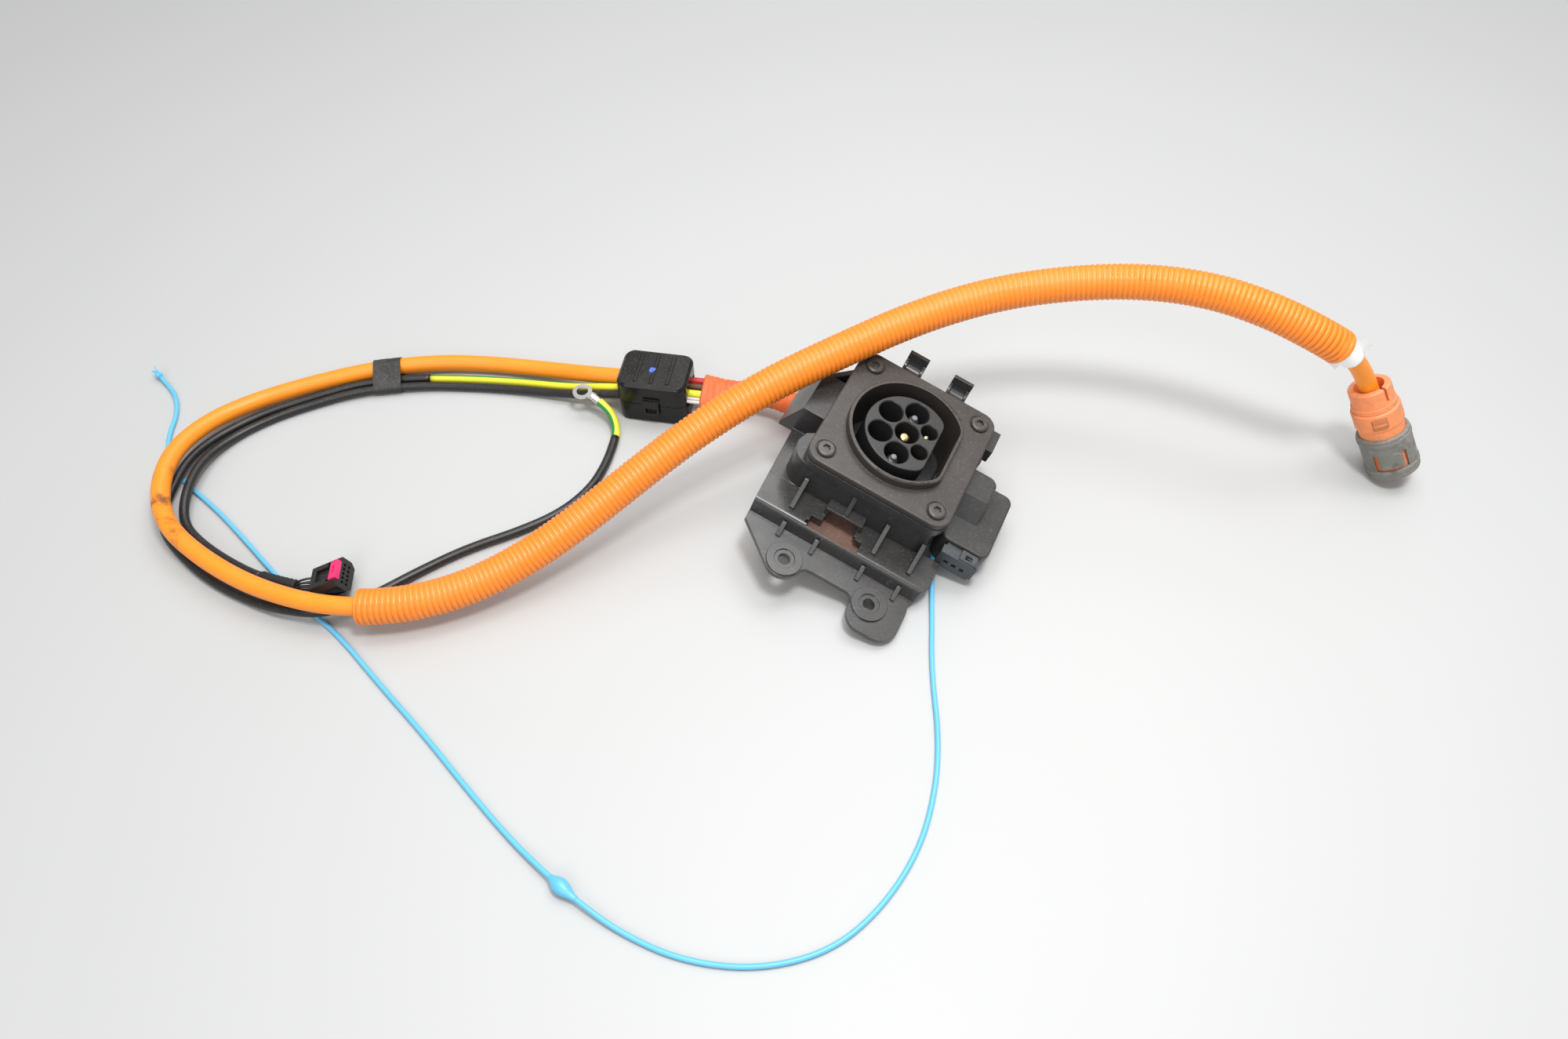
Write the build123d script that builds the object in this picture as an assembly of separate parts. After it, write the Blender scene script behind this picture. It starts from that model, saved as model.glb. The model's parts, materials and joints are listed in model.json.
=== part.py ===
from build123d import *
from math import atan2, cos, hypot, radians, sin, sqrt, tan
import os

os.makedirs("parts", exist_ok=True)

# Charging inlet wiring harness, laid out on a flat surface.
# The surface is Z = 0 and the inlet leans on its back, as it comes to rest there.
# Millimetres throughout.

# How the inlet lies: the centre of its flange face, its lean and its heading
FLANGE_X = 11.4
FLANGE_Y = 14.2
FLANGE_Z = 54.5
LEAN = 16.0
LEAN_TOWARD = -30.3
HEADING = -25.3

# Square flange, its collar and its mouth
FLANGE_SIDE = 76.6
FLANGE_CORNER = 8.0
FLANGE_T = 3.0
MOUTH_R = 28.15
MOUTH_FLAT = 23.3
MOUTH_CORNER = 8.0
MOUTH_DEPTH = 27.0
COLLAR_WALL = 1.9
COLLAR_RISE = 5.0
SLEEVE_WALL = 2.6
KEY_W = 3.0
KEY_H = 1.2
KEY_TURN = 38.0
FLANGE_EDGE = 0.8
LIP_EDGE = 0.7
SLEEVE_PLAY = 0.2

# Screws through the flange
SCREW_PITCH = 60.0
SCREW_D = 4.0
SCREW_HEAD_D = 9.3
SCREW_HEAD_H = 1.9
SCREW_SEAT = 0.5
SCREW_SEAT_PLAY = 0.6
SCREW_L = 16.0
SCREW_DRIVE_D = 4.0
SCREW_HOLE_PLAY = 0.25
SCREW_BITE_PLAY = 0.1
STAR_POINTS = 6

# Gasket behind the flange
SEAL_T = 1.2
SEAL_INSET = 0.4

# Contact carrier and its bores
CORE_R = 21.6
CORE_FLAT = 15.1
CORE_CORNER = 6.0
CORE_RISE = 3.5
CORE_BASE_T = 6.0
CORE_EDGE = 0.6
BORE_PITCH = 13.7
POWER_BORE_D = 12.2
SIGNAL_BORE_D = 8.5
SIGNAL_BORE_U = 9.6
BORE_DEPTH = 28.0
BORE_LEAD_IN = 0.5
CARRIER_PLAY = 0.1

# Contact pins: tip heights are measured from the flange face
POWER_PIN_D = 6.0
SIGNAL_PIN_D = 3.0
PE_TIP = 0.3
POWER_TIP = -2.0
CP_TIP = -0.7
PP_TIP = -6.0
PIN_TAIL = 8.0
PIN_SHOULDER_H = 2.0
GUARD_D = 3.2
GUARD_H = 2.0

# Bracket: rim under the flange, tub, plates
RIM_T = 5.1
TUB_INSET = 1.6
TUB_CORNER = 7.0
CORNER_BOSS = (-34.0, -26.7)
CORNER_BOSS_R = 10.0
WALL = 2.5
PLATE_T = 3.0
PLATE_LEVEL = -30.0
STEP_DOWN = 8.0
STEP_TOP_V = -54.6
STEP_RUN = 2.6
PLATE_LEFT = -51.2
PLATE_LEFT_LOW = -48.4
PLATE_RIGHT = 46.6
PLATE_RIGHT_LOW = 42.9
PLATE_NARROWS_V = -49.5
PLATE_LOW_V = -70.3
PLATE_LEFT_LOW_V = -62.1
PLATE_RIGHT_LOW_V = -58.0
PLATE_SCOOP_U = -6.0
SCOOP_R = 3.5
CASE_CLEAR = 0.5

# Mounting ears
EAR_HOLE_D = 6.0
EAR_R = 9.7
EAR_PAD_H = 1.2
EAR_RING_R = 5.2
EAR_RING_DEPTH = 0.8
EAR_PAD_INSET = 0.6
EAR_LEFT = (-21.7, -72.0)
EAR_RIGHT = (24.7, -70.7)
LOBE_LOW_V = -86.0
LOBE_TOP_V = -56.0
LOBE_INSET = 0.8

# Window in the plate and the hood over it
WINDOW_LEFT = -20.6
WINDOW_RIGHT = 7.5
WINDOW_LOW_V = -54.0
WINDOW_HIGH_V = -47.0
HOOD_LEFT = -16.2
HOOD_RIGHT = 3.8
HOOD_FRONT_V = -43.0
HOOD_H = 6.0
HOOD_WALL = 2.0
WINDOW_LEDGE = 1.5
NOTCH_W = 1.5
NOTCH_HIGH_V = -50.5
SLIT_W = 1.3
SLIT_HIGH_V = -45.6

# Ribs
RIB_T = 2.3
UPPER_RIBS = (-31.1, 14.4, 34.2)
UPPER_RIB_RISE = 11.0
UPPER_RIB_RUN = 13.7
LOWER_RIBS = (-30.3, -12.1, 13.7, 33.6)
LOWER_RIB_RISE = 5.5
LOWER_RIB_RUN = 6.5
RIB_NOSE_SHARE = 0.18
RIB_TOP_SHARE = 0.12

# Small pieces round the tub
SIDE_RIB_OUT = 6.0
SIDE_RIB_T = 3.0
SIDE_RIB_V = (-16.5, -20.5, -22.0, -23.5)
WEB_HIGH_V = 33.0
WEB_WALL_V = 4.5
WEB_WALL_U = 5.0
WEB_WALL = 1.6
LUG_OUT = 6.0
LUG_LOW_V = 21.5
LUG_HIGH_V = 35.0
LUG_BACK = -13.0
TAIL_OUT = 3.5
TAIL_LOW_V = 16.0
TAIL_BACK = -16.0

# Box over the wires on the left
DUCT_LEFT = -50.3
DUCT_FOOT = -59.0
DUCT_LOW_V = -6.6
DUCT_HIGH_V = 18.5
DUCT_TOP = -11.0

# Clip hooks on the far edge
HOOK_W = 11.0
HOOK_LEFT = -12.5
HOOK_RIGHT = 13.2
HOOK_R = 6.0
HOOK_T = 2.0
HOOK_RIB = 1.6
HOOK_TIP_H = 5.0
HOOK_DIP = 1.5

# Rear housing
REAR_BACK = -45.5
REAR_PLAY = 0.4
REAR_CORNER = 8.0
REAR_BOSS = (24.0, 34.0)
REAR_BOSS_SPOT = (-22.0, 11.0)
REAR_BOSS_CORNER = 9.0
REAR_BOSS_BACK = -60.3
REAR_SKIRT_LEFT = -27.0
REAR_SKIRT_RIGHT = 14.0
REAR_SKIRT_LOW_V = -51.6
REAR_SKIRT_TOP = -36.5
EXIT_SPOT = (-32.0, 22.0, -52.0)
EXIT_DIR = (-0.921, 0.281, -0.270)
EXIT_R = 6.5
EXIT_L = 14.0
REAR_EDGE = 2.0
REAR_BOSS_EDGE = 3.0
TAIL_ROOM = 1.0

# Lock actuator beside the tub
CASE_LEFT = 38.9
CASE_RIGHT = 64.6
CASE_LOW_V = -27.8
CASE_HIGH_V = 13.2
CASE_TOP = -18.0
CASE_BACK = -37.5
CASE_CORNER = 4.5
HUMP_RIGHT = 52.6
HUMP_HIGH_V = 10.9
HUMP_SLOPE_V = -5.0
HUMP_FOOT_V = -12.9
HUMP_TOP = -8.0
HUMP_CORNER = 5.0
HUMP_EDGE = 1.2
CASE_EDGE = 1.0
CASE_SEAM = 0.05

# Lock pin and release lever
LOCK_PIN_D = 6.5
LOCK_PIN_V = -1.0
LOCK_PIN_W = -13.6
SPIGOT_R = 4.2
LOCK_TRAVEL = 7.0
LOCK_PIN_PLAY = 0.08
LOCK_PIN_L = 24.0
LOCK_PIN_SET_BACK = 0.2
LOCK_PIN_TIP = 0.8
LOCK_PIN_END_GAP = 0.8
LOCK_PIN_WAY_PLAY = 0.6
LEVER_PIVOT = (50.0, -11.0)
LEVER_ANGLE = 25.0
LEVER_L = 11.0
LEVER_T = 1.5
LEVER_HUB_R = 3.2
LEVER_EYE_R = 2.8
LEVER_EYE_D = 3.0
LEVER_PIN_D = 3.0
LEVER_PLAY = 0.06
LEVER_GAP = 0.3
LEVER_CAP_H = 0.8

# Small-signal plug on the actuator
PLUG_LEFT = 44.0
PLUG_RIGHT = 61.5
PLUG_OUT = 6.5
PLUG_TOP = -20.5
PLUG_BACK = -33.0
PLUG_DEPTH = 7.0
PLUG_PLAY = 0.15
PLUG_LATCH_U = 56.5
PLUG_LATCH_W = 8.6
PLUG_LATCH_H = 1.6
PLUG_GRIP_L = 5.0
PLUG_GRIP_OUT = 1.2
PLUG_GRIP_UP = 2.0
PLUG_END_GAP = 0.3
PLUG_LATCH_INSET = 0.4
PLUG_LATCH_EYE = (1.6, 4.0)
PLUG_CELL_W = 2.2
PLUG_CELL_DEPTH = 4.0
PLUG_CELL_UP = (4.5, 7.0)

# Snap box with the ferrite in it
BOX_X = -118.7
BOX_Y = 87.8
BOX_HEADING = -9.0
BOX_L = 39.0
BOX_W = 29.0
BOX_H = 27.5
BOX_WALL = 2.0
BOX_CORNER = 6.0
SLOT_W = 20.8
SLOT_H = 10.4
SLOT_CORNER = 5.0
FERRITE_L = 31.0
FERRITE_PLAY = 0.2
FERRITE_EDGE = 0.8
PARTING_GAP = 0.15
HINGE_D = 3.2
HINGE_PIN_D = 1.5
HINGE_PLAY = 0.06
HINGE_INNER = 6.0
HINGE_OUTER = 12.0
HINGE_STAND_OFF = 0.3
HINGE_END_PLAY = 0.2
HINGE_WEB_H = 4.0
HINGE_LAP = 0.6
BOX_TOP_EDGE = 1.5
BOX_FOOT_EDGE = 1.0
LATCH_CATCH = 0.6
LATCH_GAP = 0.7
LATCH_T = 1.2
LATCH_W = 9.2
LATCH_LOW = 7.4
LATCH_ROOT = 15.4
LATCH_TOP = 18.0
LATCH_EYE_W = 6.0
LATCH_EYE = (8.8, 12.6)
CATCH_W = 5.2
CATCH = (9.2, 10.6)
LID_RIBS = (-9.0, 0.0, 9.0)
LID_RIB_W = 1.8
LID_RIB_H = 0.7
LID_RIB_INSET = 3.5

# Cords: outer diameters
CABLE_D = 9.3
CONDUIT_D = 16.5
CONDUIT_BORE = 12.6
GROUND_WIRE_D = 4.4
GROUND_SLEEVE_D = 4.8
SIGNAL_D = 4.8
BOOT_D = 6.0
RELEASE_D = 2.4
LEAD_SLEEVE_D = 12.0
SLEEVE_MOUTH_W = 20.4
SLEEVE_MOUTH_H = 7.0
SLEEVE_MOUTH_ROUND = 0.2
SLEEVE_MOUTH_GAP = 0.1
SLEEVE_MOUTH_Y = 0.25
SHRINK_D = 5.4
BEND_SHARE = 0.45

# Leads between the box and the sleeve: place across the box and diameter
LEADS = {
    "lead_l1": (7.9, 4.0),
    "lead_n": (3.3, 4.0),
    "lead_pe": (-2.2, 4.4),
    "lead_cp": (-6.1, 1.9),
    "lead_pp": (-8.4, 1.9),
}
LEAD_START = -8.0
LEAD_END = 27.0

# High-voltage plug: centre of its mouth, lean and direction
PLUG_MOUTH = (278.3, 35.1, 7.7)
PLUG_LEAN = 36.0
PLUG_TOWARD = 146.0
PLUG_FACE = (-0.27, -0.937, 0.219)
COLLAR_R = 12.8
COLLAR_BORE_R = 11.2
COLLAR_L = 25.5
COLLAR_PLAY = 0.08
COLLAR_EDGE = 0.8
BAND_OUT = 0.4
BAND_L = 2.0
BAND_LOW = 3.0
BAND_TOP_GAP = 2.5
SHELL_LOW = 3.0
SHELL_EDGE = 0.8
SHELL_R = 11.9
SHELL_TOP = 41.0
SHELL_SHOULDER = 31.0
BACKSHELL_R = 10.3
BACKSHELL_BORE_R = 7.2
BACKSHELL_PLAY = 0.02
BACKSHELL_RING_OUT = 0.6
BACKSHELL_RING = (0.05, 3.0)
BACKSHELL_EDGE = 1.2
BACKSHELL_SLIT_W = 1.4
BACKSHELL_SLIT_LOW = 4.5
BACKSHELL_SLIT_TURN = 40.0
BACKSHELL_TOP = 53.5
SHELL_FLOOR = 5.0
SLOT_APART = 13.5
SLOT_T = 1.8
SLOT_FOOT = 5.5
SLOT_TOP = 16.0
SLOT_FOOT_W = 13.5
INSERT_R = 9.2
INSERT_PLAY = 0.1
INSERT_LOW = 9.0
CONTACT_R = 2.6
CONTACT_TOP = 22.0
CONTACT_PLAY = 0.02
CONTACT_WALL = 0.7
CONTACT_BOTTOM_T = 2.0
CONTACT_SET_BACK = 2.4
CELL_WIDER = 0.6
CELL_DEPTH = 2.0
INSERT_SLOT_W = 1.2
INSERT_SLOT_DEPTH = 1.2
HV_CONTACTS = [(0.0, 5.2), (4.5, -2.6), (-4.5, -2.6)]
CLIP_W = 7.0
CLIP_LOW = 32.2
CLIP_HIGH = 38.5
CLIP_OUT = 0.5
CLIP_DEPTH = 1.0
CLIP_PLAY = 0.1
CLIP_NOSE_OUT = 1.3
CLIP_NOSE = (2.0, 3.6)

# Signal plug: its lower rear edge, tilt and heading
SIGNAL_SPOT = (-275.3, -39.6, 0.15)
SIGNAL_TILT = 26.0
SIGNAL_HEADING = 5.0
SIGNAL_L = 16.5
SIGNAL_W = 17.6
SIGNAL_H = 11.2
CAVITY = 1.3
CAVITY_PITCH = 2.5
CAVITY_DEPTH = 5.0
CAVITY_ROWS = (3.6, 6.4)
CAVITIES_ACROSS = 5
SIGNAL_EDGE = 2.6
SIGNAL_SIDE_T = 3.2
SIGNAL_FLOOR_T = 2.0
SIGNAL_ROOF_T = 3.4
SIGNAL_END_T = 4.0
SADDLE = (3.0, 5.5)
SADDLE_W = 6.8
SADDLE_DEPTH = 1.6
SIDE_NOTCH = (2.0, 5.0)
SIDE_NOTCH_DEPTH = 1.0
SIDE_NOTCH_Z = 3.0
LOCK_TIGHT = 10.6
LOCK_CLEAR = 0.08
LOCK_SLIDE = 2.0
LOCK_L = 4.0
LOCK_DEPTH = 2.3
LOCK_PROUD = 0.6
LOCK_GRIP = (2.6, 1.2)
LOCK_GRIP_W = 4.0
LOCK_GRIP_DEPTH = 1.0
SIGNAL_WIRE_D = 1.2
WIRE_START = (0.9, 1.45, 0.75)
WIRE_END = (1.2, 3.6, 4.7)
WIRE_END_ROW = 1.4

# Small pieces
TAPE_SPOT = (-275.2, 103.6)
TAPE_HEADING = 8.5
TAPE_L = 15.0
TAPE_T = 0.7
TAPE_PLAY = 0.3
RING_HOLE_D = 6.4
RING_R = 5.4
RING_T = 1.0
TONGUE_W = 4.4
TONGUE_LAP = 2.0
CRIMP_GAP = 0.1
RING_REACH = 6.4
BARREL_L = 5.0
LABEL_D = 10.7
LABEL_PLAY = 0.3
LABEL_L = 13.0
LABEL_OUT = 9.0
LABEL_T = 0.5
LABEL_GAP = 0.2
BULB_R = 3.5
BULB_L = 11.0
BULB_PLAY = 0.2
KNOT_R = 2.1
KNOT_TAIL = 8.0
KNOT_GAP = 0.05
KNOT_LIFT = 0.15

# Routes of the cords: straight runs that part.py rounds off at every corner
CABLE_ROUTE = [
    (-126.0, 94.0, 13.7),
    (-152.2, 98.2, 12.6),
    (-180.2, 108.1, 6.5),
    (-214.2, 114.6, 4.9),
    (-249.2, 115.4, 5.8),
    (-285.2, 109.6, 5.8),
    (-321.2, 97.6, 4.9),
    (-349.2, 83.1, 5.5),
    (-368.7, 64.1, 9.5),
    (-377.2, 39.6, 13.5),
    (-375.2, 14.1, 13.5),
    (-360.7, -9.4, 13.5),
    (-335.2, -29.9, 13.5),
    (-305.2, -46.9, 14.0),
    (-271.2, -57.9, 14.5),
    (-237.2, -59.4, 14.5),
    (-207.2, -51.9, 15.0),
    (-180.2, -38.9, 18.5),
    (-152.2, -22.4, 28.0),
    (-122.2, -0.9, 40.0),
    (-92.2, 18.6, 53.0),
    (-57.2, 36.6, 66.0),
    (-19.2, 55.1, 72.8),
    (18.8, 71.6, 79.8),
    (57.8, 82.6, 85.5),
    (95.8, 85.1, 90.5),
    (130.8, 80.1, 96.0),
    (162.8, 71.1, 97.5),
    (190.8, 59.6, 94.0),
    (215.8, 48.6, 86.5),
    (231.3, 48.1, 76.5),
    (244.8, 51.6, 61.0),
    (254.3, 51.1, 47.0),
    (260.6, 47.0, 37.0),
]
CONDUIT_FIRST = 14
CONDUIT_LAST = 29
GROUND_ROUTE = [
    (-127.2, 86.7, 13.7),
    (-145.6, 89.4, 12.5),
    (-169.2, 96.2, 5.0),
    (-203.2, 103.1, 2.6),
    (-240.0, 105.4, 2.6),
    (-263.2, 104.4, 3.5),
    (-289.2, 100.9, 3.5),
    (-317.2, 89.6, 2.6),
    (-342.2, 76.9, 2.6),
    (-361.2, 59.1, 3.4),
    (-369.0, 40.6, 6.4),
    (-370.6, 21.6, 6.4),
    (-372.8, 8.6, 2.8),
    (-368.2, -4.9, 2.6),
    (-354.2, -19.9, 2.6),
    (-334.2, -35.9, 2.6),
    (-308.2, -48.9, 2.6),
    (-288.2, -55.9, 6.4),
    (-273.2, -57.4, 6.4),
    (-260.7, -53.4, 6.4),
    (-248.2, -44.9, 4.6),
    (-232.2, -30.9, 2.6),
    (-209.2, -15.9, 2.6),
    (-184.2, -4.9, 2.6),
    (-164.2, 7.1, 2.6),
    (-150.7, 23.1, 2.6),
    (-144.2, 40.1, 2.6),
    (-141.4, 55.5, 2.6),
    (-140.4, 63.5, 3.4),
    (-142.2, 70.6, 6.0),
    (-145.8, 75.5, 9.2),
    (-150.6, 78.2, 12.0),
]
SLEEVE_FIRST = 4
SLEEVE_LAST = 27
SIGNAL_ROUTE = [
    (-128.0, 81.6, 13.7),
    (-146.4, 84.2, 12.0),
    (-169.2, 90.2, 5.0),
    (-203.2, 96.8, 2.6),
    (-239.2, 99.3, 2.6),
    (-261.2, 98.4, 3.5),
    (-289.2, 94.8, 3.5),
    (-317.2, 83.7, 2.6),
    (-339.7, 70.8, 2.6),
    (-355.7, 54.3, 3.6),
    (-362.0, 36.3, 6.8),
    (-362.2, 15.6, 6.8),
    (-359.2, 0.1, 3.0),
    (-348.2, -10.9, 2.6),
    (-332.2, -21.9, 2.6),
    (-314.2, -32.2, 4.0),
    (-301.2, -38.0, 6.6),
    (-287.8, -41.6, 6.6),
]
BOOT_RUN = 15
RELEASE_ROUTE = [
    (28.0, -13.6, 5.6),
    (27.4, -22.0, 4.3),
    (26.4, -33.0, 2.9),
    (25.2, -46.0, 1.8),
    (24.2, -60.5, 1.3),
    (22.6, -77.0, 1.3),
    (22.0, -94.4, 1.3),
    (22.4, -118.4, 1.3),
    (19.4, -143.4, 1.3),
    (10.3, -171.4, 1.3),
    (-7.2, -196.4, 1.3),
    (-29.2, -213.9, 1.3),
    (-58.2, -220.7, 1.3),
    (-88.2, -217.4, 1.3),
    (-113.2, -206.9, 1.5),
    (-132.2, -194.7, 3.8),
    (-145.7, -183.9, 3.8),
    (-164.2, -167.9, 1.6),
    (-187.2, -144.4, 1.3),
    (-211.2, -118.6, 1.3),
    (-237.7, -92.4, 1.3),
    (-261.2, -67.8, 1.3),
    (-282.2, -50.9, 1.3),
    (-302.2, -32.4, 1.3),
    (-324.2, -10.4, 1.3),
    (-346.2, 10.6, 1.3),
    (-371.2, 30.6, 1.3),
    (-384.2, 46.6, 1.3),
    (-389.2, 62.6, 1.3),
    (-389.7, 77.6, 1.3),
    (-395.2, 92.6, 1.3),
    (-405.2, 103.6, 1.3),
    (-413.2, 110.6, 1.3),
]
BULB_RUN = 15
SLEEVE_ROUTE = [
    (-74.0, 83.2, 13.7),
    (-60.0, 82.7, 13.7),
    (-43.1, 75.9, 13.7),
    (-29.7, 63.8, 13.7),
]


def upright(height, azimuth):
    """Unit vector that leans from +Z by height degrees toward azimuth."""
    lean, turn = radians(height), radians(azimuth)
    return Vector(sin(lean) * cos(turn), sin(lean) * sin(turn), cos(lean))


def seat_plane():
    """Plane of the flange face: its X and Y run along the square's sides."""
    normal = upright(LEAN, LEAN_TOWARD)
    turn = radians(HEADING)
    fall = -(cos(turn) * normal.X + sin(turn) * normal.Y) / normal.Z
    across = Vector(cos(turn), sin(turn), fall)
    return Plane(origin=(FLANGE_X, FLANGE_Y, FLANGE_Z), x_dir=across, z_dir=normal)


SEAT = Location(seat_plane())


def write(name, shape):
    """One STEP file per sub-part."""
    export_step(shape, f"parts/{name}.step")


def dee(radius, flat, corner):
    """Round outline that is cut flat on its +X side, with rounded ends to the flat."""
    cut = Circle(radius) & Pos(flat - radius, 0) * Rectangle(2 * radius, 2 * radius)
    return fillet(cut.vertices(), corner)


def slab(u0, u1, v0, v1, w0, w1):
    """Plain block between two corners of the inlet's own frame."""
    return Pos((u0 + u1) / 2, (v0 + v1) / 2, (w0 + w1) / 2) * Box(u1 - u0, v1 - v0, w1 - w0)


def rounded(side_u, side_v, corner, w0, w1):
    """Rounded rectangle centred on the flange, from w0 up to w1."""
    return Pos(0, 0, w0) * extrude(RectangleRounded(side_u, side_v, corner), w1 - w0)


def gusset(u, thickness, v_wall, w_foot, rise, run):
    """Triangular rib that stands on a plate and leans against a wall, toward -V."""
    side = Plane(origin=(u - thickness / 2, 0, 0), x_dir=(0, 1, 0), z_dir=(1, 0, 0))
    nose = rise * RIB_NOSE_SHARE
    face = Polygon(
        (v_wall, w_foot),
        (v_wall, w_foot + rise),
        (v_wall - run * RIB_TOP_SHARE, w_foot + rise),
        (v_wall - run, w_foot + nose),
        (v_wall - run, w_foot),
        align=None,
    )
    return extrude(side * face, thickness)


SCREWS = GridLocations(SCREW_PITCH, SCREW_PITCH, 2, 2)
RIM_TOP = -(FLANGE_T + SEAL_T)
RIM_BACK = RIM_TOP - RIM_T
SLEEVE_R = MOUTH_R + SLEEVE_WALL
SLEEVE_FLAT = MOUTH_FLAT + SLEEVE_WALL
MOUTH_FLOOR = -MOUTH_DEPTH
CARRIER_BACK = MOUTH_FLOOR - CORE_BASE_T
TUB_SIDE = FLANGE_SIDE - 2 * TUB_INSET
TUB_WALL_V = -TUB_SIDE / 2
PLATE_HIGH_V = FLANGE_SIDE / 2 - 2
LOW_LEVEL = PLATE_LEVEL - STEP_DOWN
POWER_BORES = [
    (0, 0),
    (0, BORE_PITCH),
    (0, -BORE_PITCH),
    (-BORE_PITCH * sqrt(3) / 2, BORE_PITCH / 2),
    (-BORE_PITCH * sqrt(3) / 2, -BORE_PITCH / 2),
]
SIGNAL_BORES = [(SIGNAL_BORE_U, BORE_PITCH / 2), (SIGNAL_BORE_U, -BORE_PITCH / 2)]


# Inlet flange with its collar and sleeve
def inlet_flange():
    body = rounded(FLANGE_SIDE, FLANGE_SIDE, FLANGE_CORNER, -FLANGE_T, 0)
    body = fillet(body.faces().sort_by(Axis.Z)[-1].edges(), FLANGE_EDGE)
    collar = dee(MOUTH_R + COLLAR_WALL, MOUTH_FLAT + COLLAR_WALL, MOUTH_CORNER + COLLAR_WALL)
    lip = Pos(0, 0, -FLANGE_T) * extrude(collar, FLANGE_T + COLLAR_RISE)
    lip = fillet(lip.faces().sort_by(Axis.Z)[-1].edges(), LIP_EDGE)
    sleeve = dee(SLEEVE_R, SLEEVE_FLAT, MOUTH_CORNER + SLEEVE_WALL)
    body += lip + Pos(0, 0, CARRIER_BACK) * extrude(sleeve, -CARRIER_BACK - FLANGE_T / 2)
    mouth = dee(MOUTH_R, MOUTH_FLAT, MOUTH_CORNER)
    body -= Pos(0, 0, CARRIER_BACK) * extrude(mouth, COLLAR_RISE - CARRIER_BACK)
    key = slab(-MOUTH_R - 0.5, KEY_H - MOUTH_R, -KEY_W / 2, KEY_W / 2, MOUTH_FLOOR + 0.2, 1.0)
    body += Rot(0, 0, KEY_TURN) * key
    for spot in SCREWS:
        body -= spot * Pos(0, 0, -FLANGE_T) * Cylinder(SCREW_D / 2 + SCREW_HOLE_PLAY, 3 * FLANGE_T)
        dish = Circle(SCREW_HEAD_D / 2 + SCREW_SEAT_PLAY)
        body -= spot * Pos(0, 0, -SCREW_SEAT) * extrude(dish, FLANGE_T)
    pin_way = Pos(MOUTH_FLAT, LOCK_PIN_V, LOCK_PIN_W) * Rot(0, 90, 0)
    body -= pin_way * Cylinder(LOCK_PIN_D / 2 + LOCK_PIN_PLAY, 4 * SLEEVE_WALL)
    return body


# Gasket, with the same outline as the flange
def flange_seal():
    side = FLANGE_SIDE - 2 * SEAL_INSET
    ring = rounded(side, side, FLANGE_CORNER - SEAL_INSET, RIM_TOP, -FLANGE_T)
    hole = dee(SLEEVE_R + SLEEVE_PLAY, SLEEVE_FLAT + SLEEVE_PLAY, MOUTH_CORNER + SLEEVE_WALL)
    ring -= Pos(0, 0, RIM_TOP) * extrude(hole, SEAL_T)
    for spot in SCREWS:
        ring -= spot * Pos(0, 0, RIM_TOP) * Cylinder(SCREW_D / 2 + SCREW_HOLE_PLAY, 3 * SEAL_T)
    return ring


# Button-head screws with a star recess
def flange_screws():
    star = Sketch() + [
        Rot(0, 0, 360 * i / STAR_POINTS) * Pos(SCREW_DRIVE_D * 0.29, 0) * Circle(SCREW_DRIVE_D * 0.2)
        for i in range(STAR_POINTS)
    ]
    star += Circle(SCREW_DRIVE_D * 0.34)
    head = Cylinder(SCREW_HEAD_D / 2, SCREW_HEAD_H, align=(Align.CENTER, Align.CENTER, Align.MIN))
    head = fillet(head.faces().sort_by(Axis.Z)[-1].edges(), SCREW_HEAD_H * 0.6)
    shank = Cylinder(SCREW_D / 2, SCREW_L, align=(Align.CENTER, Align.CENTER, Align.MAX))
    screw = head + shank
    screw -= Pos(0, 0, SCREW_HEAD_H * 0.35) * extrude(star, SCREW_HEAD_H)
    return joined([spot * Pos(0, 0, -SCREW_SEAT) * screw for spot in SCREWS])


# Carrier: the round core with its seven bores
def contact_carrier():
    core = dee(CORE_R, CORE_FLAT, CORE_CORNER)
    body = Pos(0, 0, MOUTH_FLOOR) * extrude(core, CORE_RISE - MOUTH_FLOOR)
    body = fillet(body.faces().sort_by(Axis.Z)[-1].edges(), CORE_EDGE)
    floor = CORE_RISE - BORE_DEPTH
    for spots, bore_d, pin_d in (
        (POWER_BORES, POWER_BORE_D, POWER_PIN_D),
        (SIGNAL_BORES, SIGNAL_BORE_D, SIGNAL_PIN_D),
    ):
        for u, v in spots:
            bore = Cylinder(bore_d / 2, BORE_DEPTH, align=(Align.CENTER, Align.CENTER, Align.MIN))
            lead = Pos(0, 0, BORE_DEPTH - BORE_LEAD_IN) * Cone(
                bore_d / 2,
                bore_d / 2 + BORE_LEAD_IN,
                BORE_LEAD_IN,
                align=(Align.CENTER, Align.CENTER, Align.MIN),
            )
            body -= Pos(u, v, floor) * (bore + lead)
            body -= Pos(u, v, floor) * Cylinder(pin_d / 2 + CARRIER_PLAY, 2 * BORE_DEPTH)
    return body


# Base of the carrier: it fills the sleeve and lets the pins through
def carrier_base():
    outline = dee(MOUTH_R - CARRIER_PLAY, MOUTH_FLAT - CARRIER_PLAY, MOUTH_CORNER)
    body = Pos(0, 0, CARRIER_BACK) * extrude(outline, CORE_BASE_T)
    for spots, pin_d in ((POWER_BORES[:3], POWER_PIN_D), (SIGNAL_BORES, SIGNAL_PIN_D)):
        for u, v in spots:
            body -= Pos(u, v, CARRIER_BACK) * Cylinder(pin_d / 2 + CARRIER_PLAY, 3 * CORE_BASE_T)
    return body


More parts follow.
